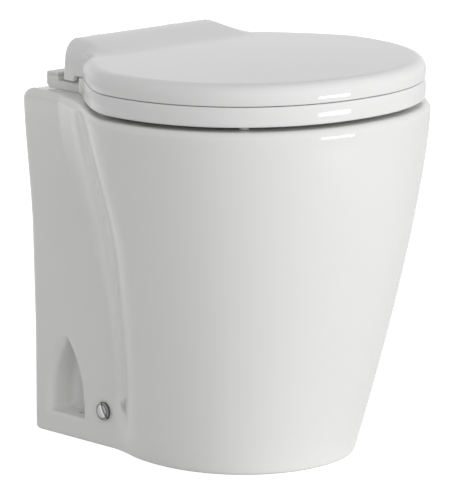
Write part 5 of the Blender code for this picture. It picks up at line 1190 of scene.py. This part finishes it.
def cap_profile():
    """(radius, distance from X = 0) from the socket's floor, round the rim, to the dish's middle."""
    face = BACK_HALF_WIDTH + CAP_GAP
    top = face + CAP_THICKNESS
    shoulder = top - CAP_RIM - CAP_DISH
    profile = [(0.0, face + CAP_SOCKET_DEPTH), (CAP_SOCKET_RADIUS, face + CAP_SOCKET_DEPTH)]
    profile += [(CAP_SOCKET_RADIUS, face), (CAP_RADIUS - CAP_FOOT_INSET, face)]
    profile += [(CAP_RADIUS, face + CAP_FOOT_RISE), (CAP_RADIUS, shoulder)]
    for a in quarter(6)[1:]:
        profile.append((CAP_RADIUS - CAP_RIM * (1 - math.cos(a)), shoulder + CAP_RIM * math.sin(a)))
    for i in range(1, CAP_DISH_STEPS + 1):
        share = 1 - i / CAP_DISH_STEPS
        profile.append(((CAP_RADIUS - CAP_RIM) * share, top - CAP_DISH * share**2))
    return profile


def make_caps(finishes):
    for side, name in ((-1, "left"), (1, "right")):
        bm = bmesh.new()
        profile = [(radius, side * along) for radius, along in cap_profile()]
        add_turned(bm, profile, "X", (0.0, SEAT_Y + SCREW_BACK, SCREW_HEIGHT), CAP_STEPS)
        cap = make_object(f"chrome_cap_{name}", bm)
        dress(cap, "root", finishes, "chrome", f"screw_cap_{name}")
        shade(cap)


# Hinge block


def make_hinge_base(finishes):
    """The hinge block of the solid, with the low cheeks that close its ends under the lid's ears."""
    node = NODES["hinge_block"]
    bm = bmesh.new()
    bm.from_mesh(node.data)
    bm.transform(node.matrix_world)
    bmesh.ops.remove_doubles(bm, verts=bm.verts, dist=WELD_DISTANCE)
    base = make_object("hinge_base", bm)
    cheeks = bmesh.new()
    for side in (-1, 1):
        low_x, high_x = sorted((side * CHEEK_INNER, side * CHEEK_OUTER))
        add_box(cheeks, (low_x, SEAT_Y + CHEEK_FRONT_BACK, BLOCK_PLATE_HEIGHT),
                (high_x, SEAT_Y + CHEEK_END_BACK, CHEEK_HEIGHT))
    combine(base, cheeks, "UNION")
    soften(base, BLOCK_EDGE)
    dress(base, "root", finishes, "white_plastic", "hinge_block")


# Carried-over nodes


def finish_nodes(finishes):
    """Every other CAD node keeps its shape, with its edges softened and its own finish."""
    slots = {part["node"]: part["material_slot"] for part in frame["record"]["subparts"]}
    replaced = {"ceramic_bowl", "seat_ring", "lid", "screw_cap_left", "screw_cap_right", "hinge_block"}
    for name, node in NODES.items():
        if name in replaced:
            continue
        node.data.materials.clear()
        node.data.materials.append(finishes[slots[name]])
        low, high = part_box(name)
        size = min(end - start for start, end in zip(low, high))
        weld = node.modifiers.new("weld", "WELD")
        weld.merge_threshold = WELD_DISTANCE
        soften(node, min(NODE_EDGE, size * NODE_EDGE_SHARE))


def main():
    bpy.context.scene.view_settings.view_transform = "Standard"
    make_camera()
    make_world()
    make_lamps()
    make_floor()
    finishes = make_finishes()
    make_bowl(finishes)
    make_seat(finishes)
    make_lid(finishes)
    make_caps(finishes)
    make_hinge_base(finishes)
    finish_nodes(finishes)


main()
